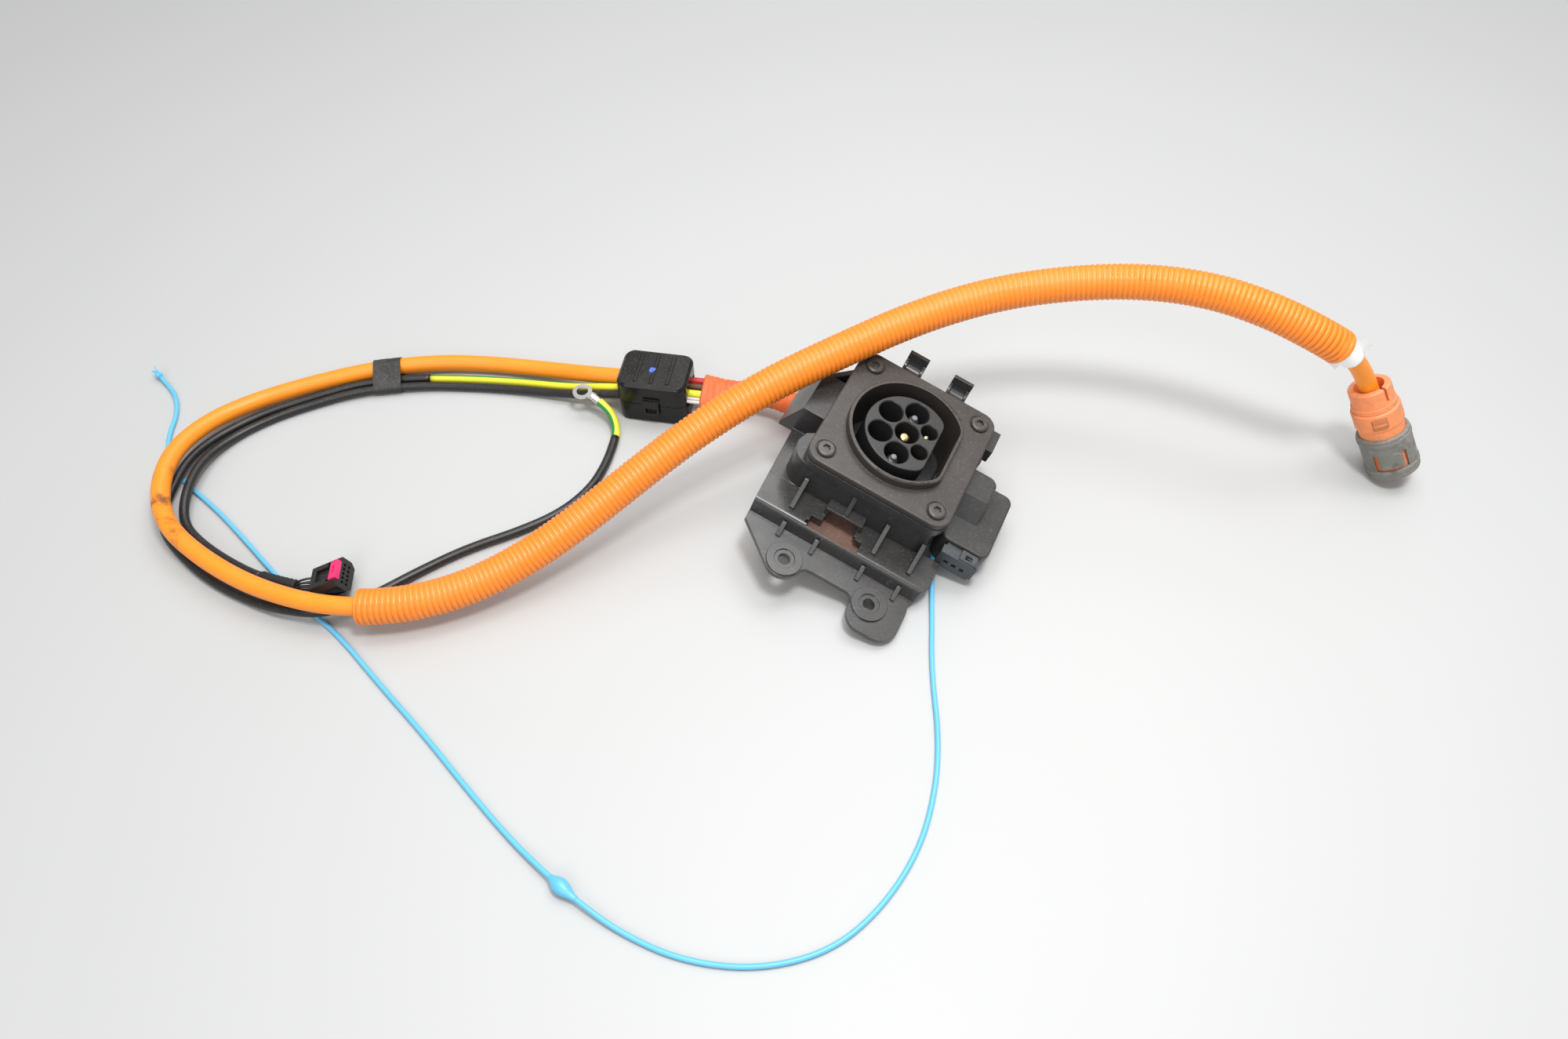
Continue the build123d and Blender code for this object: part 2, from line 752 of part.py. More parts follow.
def pin(diameter, tip, spot):
    """Solid contact pin with a rounded tip and a shoulder behind the carrier."""
    tail = CARRIER_BACK - PIN_TAIL
    length = tip - tail
    body = Cylinder(diameter / 2, length, align=(Align.CENTER, Align.CENTER, Align.MIN))
    body = fillet(body.faces().sort_by(Axis.Z)[-1].edges(), diameter * 0.32)
    shoulder = Cylinder(diameter * 0.72, PIN_SHOULDER_H, align=(Align.CENTER, Align.CENTER, Align.MAX))
    return Pos(spot[0], spot[1], tail) * (body + Pos(0, 0, PIN_TAIL) * shoulder)


# Touch guards: short insulating tips on the two power pins
def touch_guards():
    guard = Cylinder(GUARD_D / 2, GUARD_H, align=(Align.CENTER, Align.CENTER, Align.MIN))
    guard = fillet(guard.faces().sort_by(Axis.Z)[-1].edges(), GUARD_D * 0.3)
    return Part() + [Pos(u, v, POWER_TIP) * guard for u, v in POWER_BORES[1:3]]


# Near part of the bracket: plate, ribs, ears
def plate_outline():
    """Plan outline of both plate levels, with the two ears."""
    left_tangent = tangent_point((PLATE_LEFT_LOW, PLATE_LEFT_LOW_V), EAR_LEFT, EAR_R)
    case_v = CASE_LOW_V - PLUG_OUT - CASE_CLEAR
    outline = Polygon(
        (PLATE_LEFT, PLATE_HIGH_V),
        (PLATE_LEFT, DUCT_LOW_V),
        (PLATE_LEFT_LOW, PLATE_LEFT_LOW_V),
        left_tangent,
        EAR_LEFT,
        (PLATE_SCOOP_U, PLATE_LOW_V),
        (EAR_RIGHT[0], PLATE_LOW_V),
        (PLATE_RIGHT_LOW, PLATE_RIGHT_LOW_V),
        (PLATE_RIGHT, PLATE_NARROWS_V),
        (PLATE_RIGHT, case_v),
        (TUB_SIDE / 2, case_v),
        (TUB_SIDE / 2, PLATE_HIGH_V),
        align=None,
    )
    outline += Pos(*EAR_LEFT) * Circle(EAR_R)
    lobe_left = EAR_RIGHT[0] - EAR_R + LOBE_INSET
    lobe_u, lobe_v = (lobe_left + PLATE_RIGHT_LOW) / 2, (LOBE_LOW_V + LOBE_TOP_V) / 2
    outline += Pos(lobe_u, lobe_v) * RectangleRounded(
        PLATE_RIGHT_LOW - lobe_left, LOBE_TOP_V - LOBE_LOW_V, EAR_R
    )
    scooped = offset(offset(outline, SCOOP_R), -SCOOP_R)
    beside_case = Rectangle(2 * TUB_SIDE, 2 * TUB_SIDE)
    return scooped - Pos(TUB_SIDE / 2 + TUB_SIDE, case_v + TUB_SIDE) * beside_case


def tangent_point(point, centre, radius):
    """Where the line from a point touches a circle, on the circle's -X and -Y side."""
    du, dv = point[0] - centre[0], point[1] - centre[1]
    reach = hypot(du, dv)
    turn = atan2(dv, du) + atan2(sqrt(reach**2 - radius**2), radius)
    return (centre[0] + radius * cos(turn), centre[1] + radius * sin(turn))


def stepped_plate():
    """Plate that steps down in a rounded ridge, cut to the plan outline."""
    side = Plane(origin=(-FLANGE_SIDE, 0, 0), x_dir=(0, 1, 0), z_dir=(1, 0, 0))
    slant = PLATE_T * 0.9
    foot_v = STEP_TOP_V - STEP_RUN
    high, low = PLATE_LEVEL, LOW_LEVEL
    section = Polygon(
        (FLANGE_SIDE / 2, high),
        (STEP_TOP_V, high),
        (foot_v, low),
        (LOBE_LOW_V - 5, low),
        (LOBE_LOW_V - 5, low - PLATE_T),
        (foot_v + slant, low - PLATE_T),
        (STEP_TOP_V + slant, high - PLATE_T),
        (FLANGE_SIDE / 2, high - PLATE_T),
        align=None,
    )
    bends = section.vertices()
    outer = [p for p in bends if min(abs(p.X - STEP_TOP_V), abs(p.X - foot_v - slant)) < 0.01]
    section = fillet(outer, PLATE_T)
    plate = extrude(side * section, 2 * FLANGE_SIDE)
    prism = Pos(0, 0, low - 2 * PLATE_T) * extrude(plate_outline(), 3 * PLATE_T + STEP_DOWN)
    return plate & prism


def bracket_moulding():
    """Plates, ears, rim, tub and ribs in one piece, as the real moulding is."""
    plate = stepped_plate()
    rim = rounded(FLANGE_SIDE, FLANGE_SIDE, FLANGE_CORNER, RIM_BACK, RIM_TOP)
    tub = rounded(TUB_SIDE, TUB_SIDE, TUB_CORNER, PLATE_LEVEL - PLATE_T, RIM_BACK)
    tub += Pos(*CORNER_BOSS, PLATE_LEVEL) * extrude(Circle(CORNER_BOSS_R), RIM_BACK - PLATE_LEVEL)
    inside = TUB_SIDE - 2 * WALL
    cavity = rounded(inside, inside, TUB_CORNER - WALL, PLATE_LEVEL - 2 * PLATE_T, RIM_BACK)
    body = (plate + rim + tub + duct() + hood()) - cavity - duct_cavity() - hood_cavity()
    for u in UPPER_RIBS:
        body += gusset(u, RIB_T, TUB_WALL_V + 0.1, PLATE_LEVEL, UPPER_RIB_RISE, UPPER_RIB_RUN)
    body += gusset(
        (HOOD_LEFT + HOOD_RIGHT) / 2,
        RIB_T,
        TUB_WALL_V + 0.1,
        PLATE_LEVEL + HOOD_H - 0.1,
        UPPER_RIB_RISE,
        -HOOD_FRONT_V + TUB_WALL_V - 0.8,
    )
    for u in LOWER_RIBS:
        foot = STEP_TOP_V - STEP_RUN * 0.6
        body += gusset(u, RIB_T, foot, LOW_LEVEL, LOWER_RIB_RISE, LOWER_RIB_RUN)
    body += side_gusset() + corner_web() + edge_lug()
    within = rounded(TUB_SIDE, TUB_SIDE, TUB_CORNER, PLATE_LEVEL, RIM_TOP)
    for spot in SCREWS:
        boss = Cylinder(SCREW_D, -RIM_BACK, align=(Align.CENTER, Align.CENTER, Align.MAX))
        body += (spot * Pos(0, 0, RIM_TOP - 0.1) * boss) & within
    for u, v in (EAR_LEFT, EAR_RIGHT):
        body += Pos(u, v, LOW_LEVEL) * extrude(Circle(EAR_R - EAR_PAD_INSET), EAR_PAD_H)
        body -= Pos(u, v, LOW_LEVEL + EAR_PAD_H - EAR_RING_DEPTH) * extrude(Circle(EAR_RING_R), 5)
        body -= Pos(u, v, LOW_LEVEL) * Cylinder(EAR_HOLE_D / 2, 6 * PLATE_T)
    sleeve = dee(SLEEVE_R + SLEEVE_PLAY, SLEEVE_FLAT + SLEEVE_PLAY, MOUTH_CORNER + SLEEVE_WALL)
    body -= Pos(0, 0, RIM_BACK - 0.1) * extrude(sleeve, RIM_T + 0.2)
    for spot in SCREWS:
        radius = SCREW_D / 2 + SCREW_BITE_PLAY
        body -= spot * Cylinder(radius, SCREW_L + 1, align=(Align.CENTER, Align.CENTER, Align.MAX))
    way = Pos(TUB_SIDE / 2, LOCK_PIN_V, LOCK_PIN_W) * Rot(0, 90, 0)
    body -= way * Cylinder(LOCK_PIN_D / 2 + LOCK_PIN_WAY_PLAY, 5 * WALL)
    return body - window()


def all_round(v0, w0, w1):
    """Everything beyond a line across the bracket, between two levels."""
    reach = 2 * FLANGE_SIDE
    return slab(-reach, reach, v0, reach, w0, w1)


# The bracket is one moulding. It is three nodes, so that collision can follow its tub.
# Near part: the stepped plate with its ears, ribs and window
def mounting_bracket():
    reach = 2 * FLANGE_SIDE
    tub = all_round(TUB_WALL_V, -reach, reach) + all_round(-reach, RIM_BACK, reach)
    return bracket_moulding() - tub


# Rim under the flange
def bracket_rim():
    return bracket_moulding() & all_round(-2 * FLANGE_SIDE, RIM_BACK, 2 * FLANGE_SIDE)


# Tub below the rim, with the box over the wires
def bracket_tub():
    return bracket_moulding() & all_round(TUB_WALL_V, -2 * FLANGE_SIDE, RIM_BACK)


# Box over the wires: its outer side slopes out to a foot
def duct():
    end = Plane(origin=(0, DUCT_LOW_V, 0), x_dir=(1, 0, 0), z_dir=(0, -1, 0))
    face = Polygon(
        (-TUB_SIDE / 2 + 1, PLATE_LEVEL - PLATE_T),
        (-TUB_SIDE / 2 + 1, DUCT_TOP),
        (DUCT_LEFT, DUCT_TOP),
        (DUCT_FOOT, PLATE_LEVEL),
        (DUCT_FOOT, PLATE_LEVEL - PLATE_T),
        align=None,
    )
    return extrude(end * face, DUCT_LOW_V - DUCT_HIGH_V)


def duct_cavity():
    end = Plane(origin=(0, DUCT_LOW_V + WALL, 0), x_dir=(1, 0, 0), z_dir=(0, -1, 0))
    face = Polygon(
        (-TUB_SIDE / 2, PLATE_LEVEL - 2 * PLATE_T),
        (-TUB_SIDE / 2, DUCT_TOP - WALL),
        (DUCT_LEFT + WALL * 0.7, DUCT_TOP - WALL),
        (DUCT_FOOT + WALL * 1.2, PLATE_LEVEL),
        (DUCT_FOOT + WALL * 1.2, PLATE_LEVEL - 2 * PLATE_T),
        align=None,
    )
    return extrude(end * face, DUCT_LOW_V - DUCT_HIGH_V + 2 * WALL)


def hood():
    top = PLATE_LEVEL + HOOD_H
    return slab(HOOD_LEFT, HOOD_RIGHT, HOOD_FRONT_V, TUB_WALL_V + 1, PLATE_LEVEL - PLATE_T, top)


def hood_cavity():
    top = PLATE_LEVEL + HOOD_H - HOOD_WALL
    left, right = HOOD_LEFT + HOOD_WALL, HOOD_RIGHT - HOOD_WALL
    front, back = HOOD_FRONT_V - 1, TUB_WALL_V - 0.6
    return slab(left, right, front, back, PLATE_LEVEL - 2 * PLATE_T, top)


# Window below the hood: wider toward the ridge, with a notch at each end
def window():
    deep, top = PLATE_LEVEL - 2 * PLATE_T, PLATE_LEVEL + 1
    cut = slab(WINDOW_LEFT, WINDOW_RIGHT, WINDOW_LOW_V, WINDOW_HIGH_V, deep, top)
    left, right = HOOD_LEFT + WINDOW_LEDGE, HOOD_RIGHT - WINDOW_LEDGE
    cut += slab(left, right, WINDOW_HIGH_V - 0.1, HOOD_FRONT_V, deep, top)
    notch_left = WINDOW_LEFT + 0.1 - NOTCH_W
    cut += slab(notch_left, notch_left + NOTCH_W, WINDOW_LOW_V + NOTCH_W, NOTCH_HIGH_V, deep, top)
    slit_left = HOOD_RIGHT - WINDOW_LEDGE - 0.1
    cut += slab(slit_left, slit_left + SLIT_W, WINDOW_HIGH_V - 0.1, SLIT_HIGH_V, deep, top)
    return cut


def side_gusset():
    """Small pointed rib on the left of the tub."""
    level = Plane(origin=(0, 0, RIM_BACK), x_dir=(1, 0, 0), z_dir=(0, 0, 1))
    wall = -TUB_SIDE / 2 + 0.1
    high, shoulder, foot, low = SIDE_RIB_V
    out = wall - SIDE_RIB_OUT
    face = Polygon((wall, high), (out, shoulder), (out, foot), (wall, low), align=None)
    return extrude(level * face, -SIDE_RIB_T)


def corner_web():
    """Triangular pocket beside the far left corner of the tub."""
    wall = -TUB_SIDE / 2 + 0.1
    level = Plane(origin=(0, 0, DUCT_TOP), x_dir=(1, 0, 0), z_dir=(0, 0, 1))
    face = Polygon((wall, WEB_HIGH_V), (DUCT_LEFT, DUCT_HIGH_V), (wall, DUCT_HIGH_V), align=None)
    web = extrude(level * face, PLATE_LEVEL - DUCT_TOP)
    inner = Polygon(
        (wall, WEB_HIGH_V - WEB_WALL_V),
        (DUCT_LEFT + WEB_WALL_U, DUCT_HIGH_V + WEB_WALL),
        (wall, DUCT_HIGH_V + WEB_WALL),
        align=None,
    )
    return web - extrude(level * inner, PLATE_LEVEL - DUCT_TOP + WALL)


def edge_lug():
    """Square lug on the right edge, with a thinner tail."""
    wall = TUB_SIDE / 2 - 0.1
    lug = slab(wall, wall + LUG_OUT, LUG_LOW_V, LUG_HIGH_V, LUG_BACK, RIM_TOP)
    return lug + slab(wall, wall + TAIL_OUT, TAIL_LOW_V, LUG_LOW_V + 0.1, TAIL_BACK, RIM_BACK)


def clip_hook(u):
    """Hook that curls up from the far edge, with a rib along each side."""
    near, far = u - HOOK_W / 2, u + HOOK_W / 2
    side = Plane(origin=(u - HOOK_W / 2, 0, 0), x_dir=(0, 1, 0), z_dir=(1, 0, 0))
    centre_v = FLANGE_SIDE / 2 + HOOK_R
    centre_w = RIM_BACK + HOOK_R
    swept = Circle(HOOK_R) - Circle(HOOK_R - HOOK_T)
    swept &= Pos(0, -HOOK_R) * Rectangle(4 * HOOK_R, 2 * HOOK_R)
    hook = extrude(side * Pos(centre_v, centre_w) * swept, HOOK_W)
    tip_v = centre_v + HOOK_R
    hook += slab(near, far, tip_v - HOOK_T, tip_v, centre_w - 0.1, centre_w + HOOK_TIP_H)
    hook += slab(near, far, FLANGE_SIDE / 2, centre_v - HOOK_R + HOOK_T, RIM_BACK, RIM_TOP)
    for edge in (u - HOOK_W / 2, u + HOOK_W / 2 - HOOK_RIB):
        rib = Circle(HOOK_R - HOOK_T + 0.1) & Pos(0, -HOOK_R) * Rectangle(4 * HOOK_R, 2 * HOOK_R)
        rib -= Pos(0, HOOK_DIP) * Circle(HOOK_R - HOOK_T)
        wing = Plane(origin=(edge, 0, 0), x_dir=(0, 1, 0), z_dir=(1, 0, 0))
        hook += extrude(wing * Pos(centre_v, centre_w) * rib, HOOK_RIB)
    return hook


def clip_hooks():
    return joined([clip_hook(HOOK_LEFT), clip_hook(HOOK_RIGHT)])


# Rear housing: a shallow cover in the tub, with a deep boss where the wires gather
def rear_housing():
    side = TUB_SIDE - 2 * WALL - 2 * REAR_PLAY
    hollow = side - 2 * WALL
    tails = CARRIER_BACK - PIN_TAIL - TAIL_ROOM
    shell = rounded(side, side, REAR_CORNER, REAR_BACK, CARRIER_BACK)
    shell = chamfer(shell.faces().sort_by(Axis.Z)[0].edges(), REAR_EDGE)
    shell -= rounded(hollow, hollow, REAR_CORNER - WALL, tails, CARRIER_BACK)
    boss = Pos(*REAR_BOSS_SPOT, REAR_BOSS_BACK) * extrude(
        RectangleRounded(*REAR_BOSS, REAR_BOSS_CORNER), REAR_BACK - REAR_BOSS_BACK + 1
    )
    boss = fillet(boss.faces().sort_by(Axis.Z)[0].edges(), REAR_BOSS_EDGE)
    exit_plane = Plane(origin=EXIT_SPOT, z_dir=EXIT_DIR)
    spout = extrude(exit_plane * Circle(EXIT_R), EXIT_L)
    skirt_v = WALL - side / 2
    skirt = slab(
        REAR_SKIRT_LEFT, REAR_SKIRT_RIGHT, REAR_SKIRT_LOW_V, skirt_v, REAR_BACK, REAR_SKIRT_TOP
    )
    skirt = fillet(skirt.edges().filter_by(Axis.Z).group_by(Axis.Y)[0], WALL)
    return shell + boss + spout + skirt


# Lock actuator: flat case with a raised hump over its gears
def actuator_case():
    body = Pos(
        (CASE_LEFT + CASE_RIGHT) / 2, (CASE_LOW_V + CASE_HIGH_V) / 2, CASE_BACK
    ) * extrude(
        RectangleRounded(CASE_RIGHT - CASE_LEFT, CASE_HIGH_V - CASE_LOW_V, CASE_CORNER),
        CASE_TOP - CASE_BACK - CASE_SEAM,
    )
    body = fillet(body.faces().sort_by(Axis.Z)[-1].edges(), CASE_EDGE)
    body -= plug_socket()
    pivot = Pos(*LEVER_PIVOT, CASE_BACK)
    drop = LEVER_GAP + LEVER_T + LEVER_GAP
    stub = Cylinder(LEVER_PIN_D / 2, drop + 0.1, align=(Align.CENTER, Align.CENTER, Align.MAX))
    cap_r = LEVER_PIN_D * 0.85
    cap = Cylinder(cap_r, LEVER_CAP_H, align=(Align.CENTER, Align.CENTER, Align.MAX))
    return body + pivot * (Pos(0, 0, 0.1) * stub + Pos(0, 0, -drop) * cap)


def plug_socket():
    """Pocket in the near end of the actuator case."""
    left, right = PLUG_LEFT - PLUG_PLAY, PLUG_RIGHT + PLUG_PLAY
    back, top = PLUG_BACK - PLUG_PLAY, PLUG_TOP + PLUG_PLAY
    return slab(left, right, CASE_LOW_V - 1, CASE_LOW_V + PLUG_DEPTH, back, top)


def actuator_cover():
    end = Plane(origin=(CASE_LEFT, 0, 0), x_dir=(0, 1, 0), z_dir=(1, 0, 0))
    face = Polygon(
        (HUMP_HIGH_V, CASE_TOP),
        (HUMP_HIGH_V, HUMP_TOP),
        (HUMP_SLOPE_V, HUMP_TOP),
        (HUMP_FOOT_V, CASE_TOP),
        align=None,
    )
    body = extrude(end * face, HUMP_RIGHT - CASE_LEFT)
    upright_edges = body.edges().filter_by(Axis.Z).group_by(Axis.X)[-1]
    body = fillet(upright_edges, HUMP_CORNER)
    body = fillet(body.faces().sort_by(Axis.Z)[-1].edges().group_by(Axis.X)[-1], HUMP_EDGE)
    seat = TUB_SIDE / 2 + CASE_SEAM
    spigot = Cylinder(SPIGOT_R, CASE_LEFT - seat + 1, align=(Align.CENTER, Align.CENTER, Align.MIN))
    body += Pos(seat, LOCK_PIN_V, LOCK_PIN_W) * Rot(0, 90, 0) * spigot
    bore_r = LOCK_PIN_D / 2 + LOCK_PIN_PLAY
    bore_l = MOUTH_FLAT + LOCK_PIN_L + LOCK_PIN_END_GAP - seat
    bore = Cylinder(bore_r, bore_l, align=(Align.CENTER, Align.CENTER, Align.MIN))
    return body - Pos(seat, LOCK_PIN_V, LOCK_PIN_W) * Rot(0, 90, 0) * bore


# Lock pin at rest flush with the mouth's flat side; it slides into the mouth
def lock_pin():
    rod = Cylinder(LOCK_PIN_D / 2, LOCK_PIN_L, align=(Align.CENTER, Align.CENTER, Align.MIN))
    rod = chamfer(rod.faces().sort_by(Axis.Z)[0].edges(), LOCK_PIN_TIP)
    return Pos(MOUTH_FLAT + LOCK_PIN_SET_BACK, LOCK_PIN_V, LOCK_PIN_W) * Rot(0, 90, 0) * rod


# Emergency release lever under the actuator, with the eye for the cord
def release_lever():
    hub = Circle(LEVER_HUB_R)
    beam = Pos(-LEVER_L / 2, 0) * Rectangle(LEVER_L, 1.2 * LEVER_HUB_R)
    eye = Pos(-LEVER_L, 0) * Circle(LEVER_EYE_R)
    face = hub + beam + eye - Circle(LEVER_PIN_D / 2 + LEVER_PLAY)
    face -= Pos(-LEVER_L, 0) * Circle(LEVER_EYE_D / 2)
    arm = extrude(Rot(0, 0, LEVER_ANGLE) * face, -LEVER_T)
    return Pos(*LEVER_PIVOT, CASE_BACK - LEVER_GAP) * arm


# Small grey plug in the actuator, with its latch
def actuator_plug():
    front = CASE_LOW_V - PLUG_OUT
    end = CASE_LOW_V + PLUG_DEPTH - PLUG_END_GAP
    body = slab(PLUG_LEFT, PLUG_RIGHT, front, end, PLUG_BACK, PLUG_TOP)
    left, right = PLUG_LEFT - PLUG_GRIP_OUT, PLUG_RIGHT + PLUG_GRIP_OUT
    body += slab(left, right, front, front + PLUG_GRIP_L, PLUG_BACK + PLUG_GRIP_UP, PLUG_TOP)
    left, right = PLUG_LATCH_U - PLUG_LATCH_W / 2, PLUG_LATCH_U + PLUG_LATCH_W / 2
    near, far = front + PLUG_LATCH_INSET, CASE_LOW_V - PLUG_LATCH_INSET
    latch = slab(left, right, near, far, PLUG_TOP - 0.1, PLUG_TOP + PLUG_LATCH_H)
    left, right = PLUG_LATCH_U - PLUG_LATCH_W / 5, PLUG_LATCH_U + PLUG_LATCH_W / 5
    near, far = (front + v for v in PLUG_LATCH_EYE)
    body += latch - slab(left, right, near, far, PLUG_TOP, PLUG_TOP + 2 * PLUG_LATCH_H)
    pitch = (PLUG_RIGHT - PLUG_LEFT) / 4
    low, high = (PLUG_BACK + w for w in PLUG_CELL_UP)
    for u in (PLUG_LATCH_U - 2 * pitch, PLUG_LATCH_U - pitch, PLUG_LATCH_U):
        left, right = u - PLUG_CELL_W / 2, u + PLUG_CELL_W / 2
        body -= slab(left, right, front - 0.1, front + PLUG_CELL_DEPTH, low, high)
    return body


def joined(shapes):
    """One group of separate solids."""
    return Part() + list(shapes)


def bend_radii(points):
    """Bend radius at every corner of a route: as large as the shorter run beside it allows."""
    radii = []
    for before, corner, after in zip(points, points[1:], points[2:]):
        into, out = Vector(*corner) - Vector(*before), Vector(*after) - Vector(*corner)
        half = radians(into.get_angle(out)) / 2
        radii.append(BEND_SHARE * min(into.length, out.length) / tan(half))
    return radii


def middle(points, run):
    """Point half way along one straight run of a route."""
    return tuple((a + b) / 2 for a, b in zip(points[run], points[run + 1]))


def stretch(points, first=None, last=None):
    """Part of a route, between the middles of two of its runs, with its bend radii."""
    radii = bend_radii(points)
    start = 0 if first is None else first + 1
    end = len(points) if last is None else last + 1
    part = points[start:end]
    bends = radii[max(start, 1) - 1:min(end, len(points) - 1) - 1]
    if first is not None:
        part = [middle(points, first)] + part
    if last is not None:
        part = part + [middle(points, last)]
    return part, bends


def tube(name, route, diameter, bore=0.0):
    """Round tube along straight runs and tangent arcs; its radii and length are printed."""
    points, bends = route
    path = FilletPolyline(*points, radius=bends) if bends else Line(points[0], points[-1])
    heading = Vector(*points[1]) - Vector(*points[0])
    start = Plane(origin=points[0], z_dir=heading)
    section = start * Circle(diameter / 2)
    if bore:
        section -= start * Circle(bore / 2)
    solid = sweep(section, path=path)
    least = min(bends) if bends else 0
    print(f"{name}: length {path.length:.1f}, least bend radius {least:.1f}, volume {solid.volume:.0f}")
    print("  bend radii", [round(r, 1) for r in bends])
    return solid


BOX = Pos(BOX_X, BOX_Y, 0) * Rot(0, 0, BOX_HEADING)
PARTING = BOX_H / 2
PLUG_PLANE = Plane(
    origin=PLUG_MOUTH,
    x_dir=PLUG_FACE,
    z_dir=upright(PLUG_LEAN, PLUG_TOWARD),
)
SIGNAL_SEAT = Pos(*SIGNAL_SPOT) * Rot(0, 0, SIGNAL_HEADING) * Rot(0, -SIGNAL_TILT, 0)


# Snap box: rounded shell with an opening for the cords at each end
def box_shell(low, high):
    """The part of the box's shell between two levels."""
    outer = extrude(RectangleRounded(BOX_L, BOX_W, BOX_CORNER), BOX_H)
    outer = chamfer(outer.faces().sort_by(Axis.Z)[-1].edges(), BOX_TOP_EDGE)
    outer = chamfer(outer.faces().sort_by(Axis.Z)[0].edges(), BOX_FOOT_EDGE)
    inner = Pos(0, 0, BOX_WALL) * extrude(
        RectangleRounded(BOX_L - 2 * BOX_WALL, BOX_W - 2 * BOX_WALL, BOX_CORNER - BOX_WALL),
        BOX_H - 2 * BOX_WALL,
    )
    shell = outer - inner - slot_prism(0, 2 * BOX_L)
    return shell & Pos(0, 0, low) * extrude(Rectangle(2 * BOX_L, 2 * BOX_W), high - low)


def slot_prism(play, length):
    """The way for the cords through the box and its ferrite."""
    side = Plane(origin=(-length / 2, 0, PARTING), x_dir=(0, 1, 0), z_dir=(1, 0, 0))
    face = RectangleRounded(SLOT_W + 2 * play, SLOT_H + 2 * play, SLOT_CORNER + play)
    return extrude(side * face, length)


def barrel(y0, z0, x0, x1, radius):
    """Round bar along X."""
    return Pos(x0, y0, z0) * Rot(0, 90, 0) * Cylinder(
        radius, x1 - x0, align=(Align.CENTER, Align.CENTER, Align.MIN)
    )


HINGE_Y = BOX_W / 2 + HINGE_D / 2 + HINGE_STAND_OFF


def ferrite_case():
    body = box_shell(0, PARTING - PARTING_GAP / 2)
    for side in (-1, 1):
        x0, x1 = sorted((side * HINGE_INNER, side * HINGE_OUTER))
        body += barrel(HINGE_Y, PARTING, x0, x1, HINGE_D / 2)
        low, high = PARTING - HINGE_WEB_H, PARTING - HINGE_D / 2 + HINGE_LAP
        body += slab(x0, x1, BOX_W / 2 - 0.5, HINGE_Y, low, high)
    body += barrel(HINGE_Y, PARTING, -HINGE_OUTER, HINGE_OUTER, HINGE_PIN_D / 2)
    catch_y = -BOX_W / 2 - LATCH_CATCH
    return body + slab(-CATCH_W / 2, CATCH_W / 2, catch_y, 1 - BOX_W / 2, *CATCH)


def ferrite_lid():
    body = box_shell(PARTING + PARTING_GAP / 2, BOX_H)
    reach = HINGE_INNER - HINGE_END_PLAY
    knuckle = barrel(HINGE_Y, PARTING, -reach, reach, HINGE_D / 2)
    low, high = PARTING + HINGE_D / 2 - HINGE_LAP, PARTING + HINGE_WEB_H
    knuckle += slab(-reach, reach, BOX_W / 2 - 0.5, HINGE_Y, low, high)
    body += knuckle - barrel(HINGE_Y, PARTING, -reach - 1, reach + 1, HINGE_PIN_D / 2 + HINGE_PLAY)
    inner = -BOX_W / 2 - LATCH_GAP
    left, right = -LATCH_W / 2, LATCH_W / 2
    tongue = slab(left, right, inner - LATCH_T, inner, LATCH_LOW, LATCH_TOP)
    tongue += slab(left, right, inner - LATCH_T, 0.5 - BOX_W / 2, LATCH_ROOT, LATCH_TOP)
    left, right = -LATCH_EYE_W / 2, LATCH_EYE_W / 2
    tongue -= slab(left, right, inner - 2 * LATCH_T, inner + 0.1, *LATCH_EYE)
    body += tongue
    along = BOX_W / 2 - LID_RIB_INSET
    for x in LID_RIBS:
        left, right = x - LID_RIB_W / 2, x + LID_RIB_W / 2
        body += slab(left, right, -along, along, BOX_H - 0.1, BOX_H + LID_RIB_H)
    return body


def ferrite_half(low, high):
    """Half of the ferrite, with half of the way for the cords in it."""
    across = BOX_W - 2 * BOX_WALL - 2 * FERRITE_PLAY
    block = Pos(0, 0, low) * extrude(Rectangle(FERRITE_L, across), high - low)
    block = chamfer(block.edges().filter_by(Axis.Z), FERRITE_EDGE)
    return block - slot_prism(0, 2 * BOX_L)


def lead(name):
    """Straight lead from inside the box to the mouth of its sleeve."""
    across, diameter = LEADS[name]
    length = LEAD_END - LEAD_START
    rod = barrel(across, PARTING, LEAD_START, LEAD_END, diameter / 2)
    print(f"{name}: length {length:.1f}, straight, volume {rod.volume:.0f}")
    return BOX * rod


# Sleeve: flat at the box end where the leads lie side by side, round at the inlet
def lead_sleeve():
    mouth_spot = Pos(LEAD_END + SLEEVE_MOUTH_GAP, SLEEVE_MOUTH_Y, PARTING)
    mouth = Plane(BOX * mouth_spot * Rot(0, 90, 0))
    first, second = Vector(*SLEEVE_ROUTE[0]), Vector(*SLEEVE_ROUTE[1])
    end = Plane(origin=first, x_dir=(0, 0, -1), z_dir=second - first)
    flat_r, end_r = SLEEVE_MOUTH_H / 2 - SLEEVE_MOUTH_ROUND, LEAD_SLEEVE_D / 2 - SLEEVE_MOUTH_ROUND
    flat = RectangleRounded(SLEEVE_MOUTH_H, SLEEVE_MOUTH_W, flat_r)
    round_end = RectangleRounded(LEAD_SLEEVE_D, LEAD_SLEEVE_D, end_r)
    funnel = loft([mouth * flat, end * round_end])
    return funnel + tube("lead_sleeve", stretch(SLEEVE_ROUTE), LEAD_SLEEVE_D)


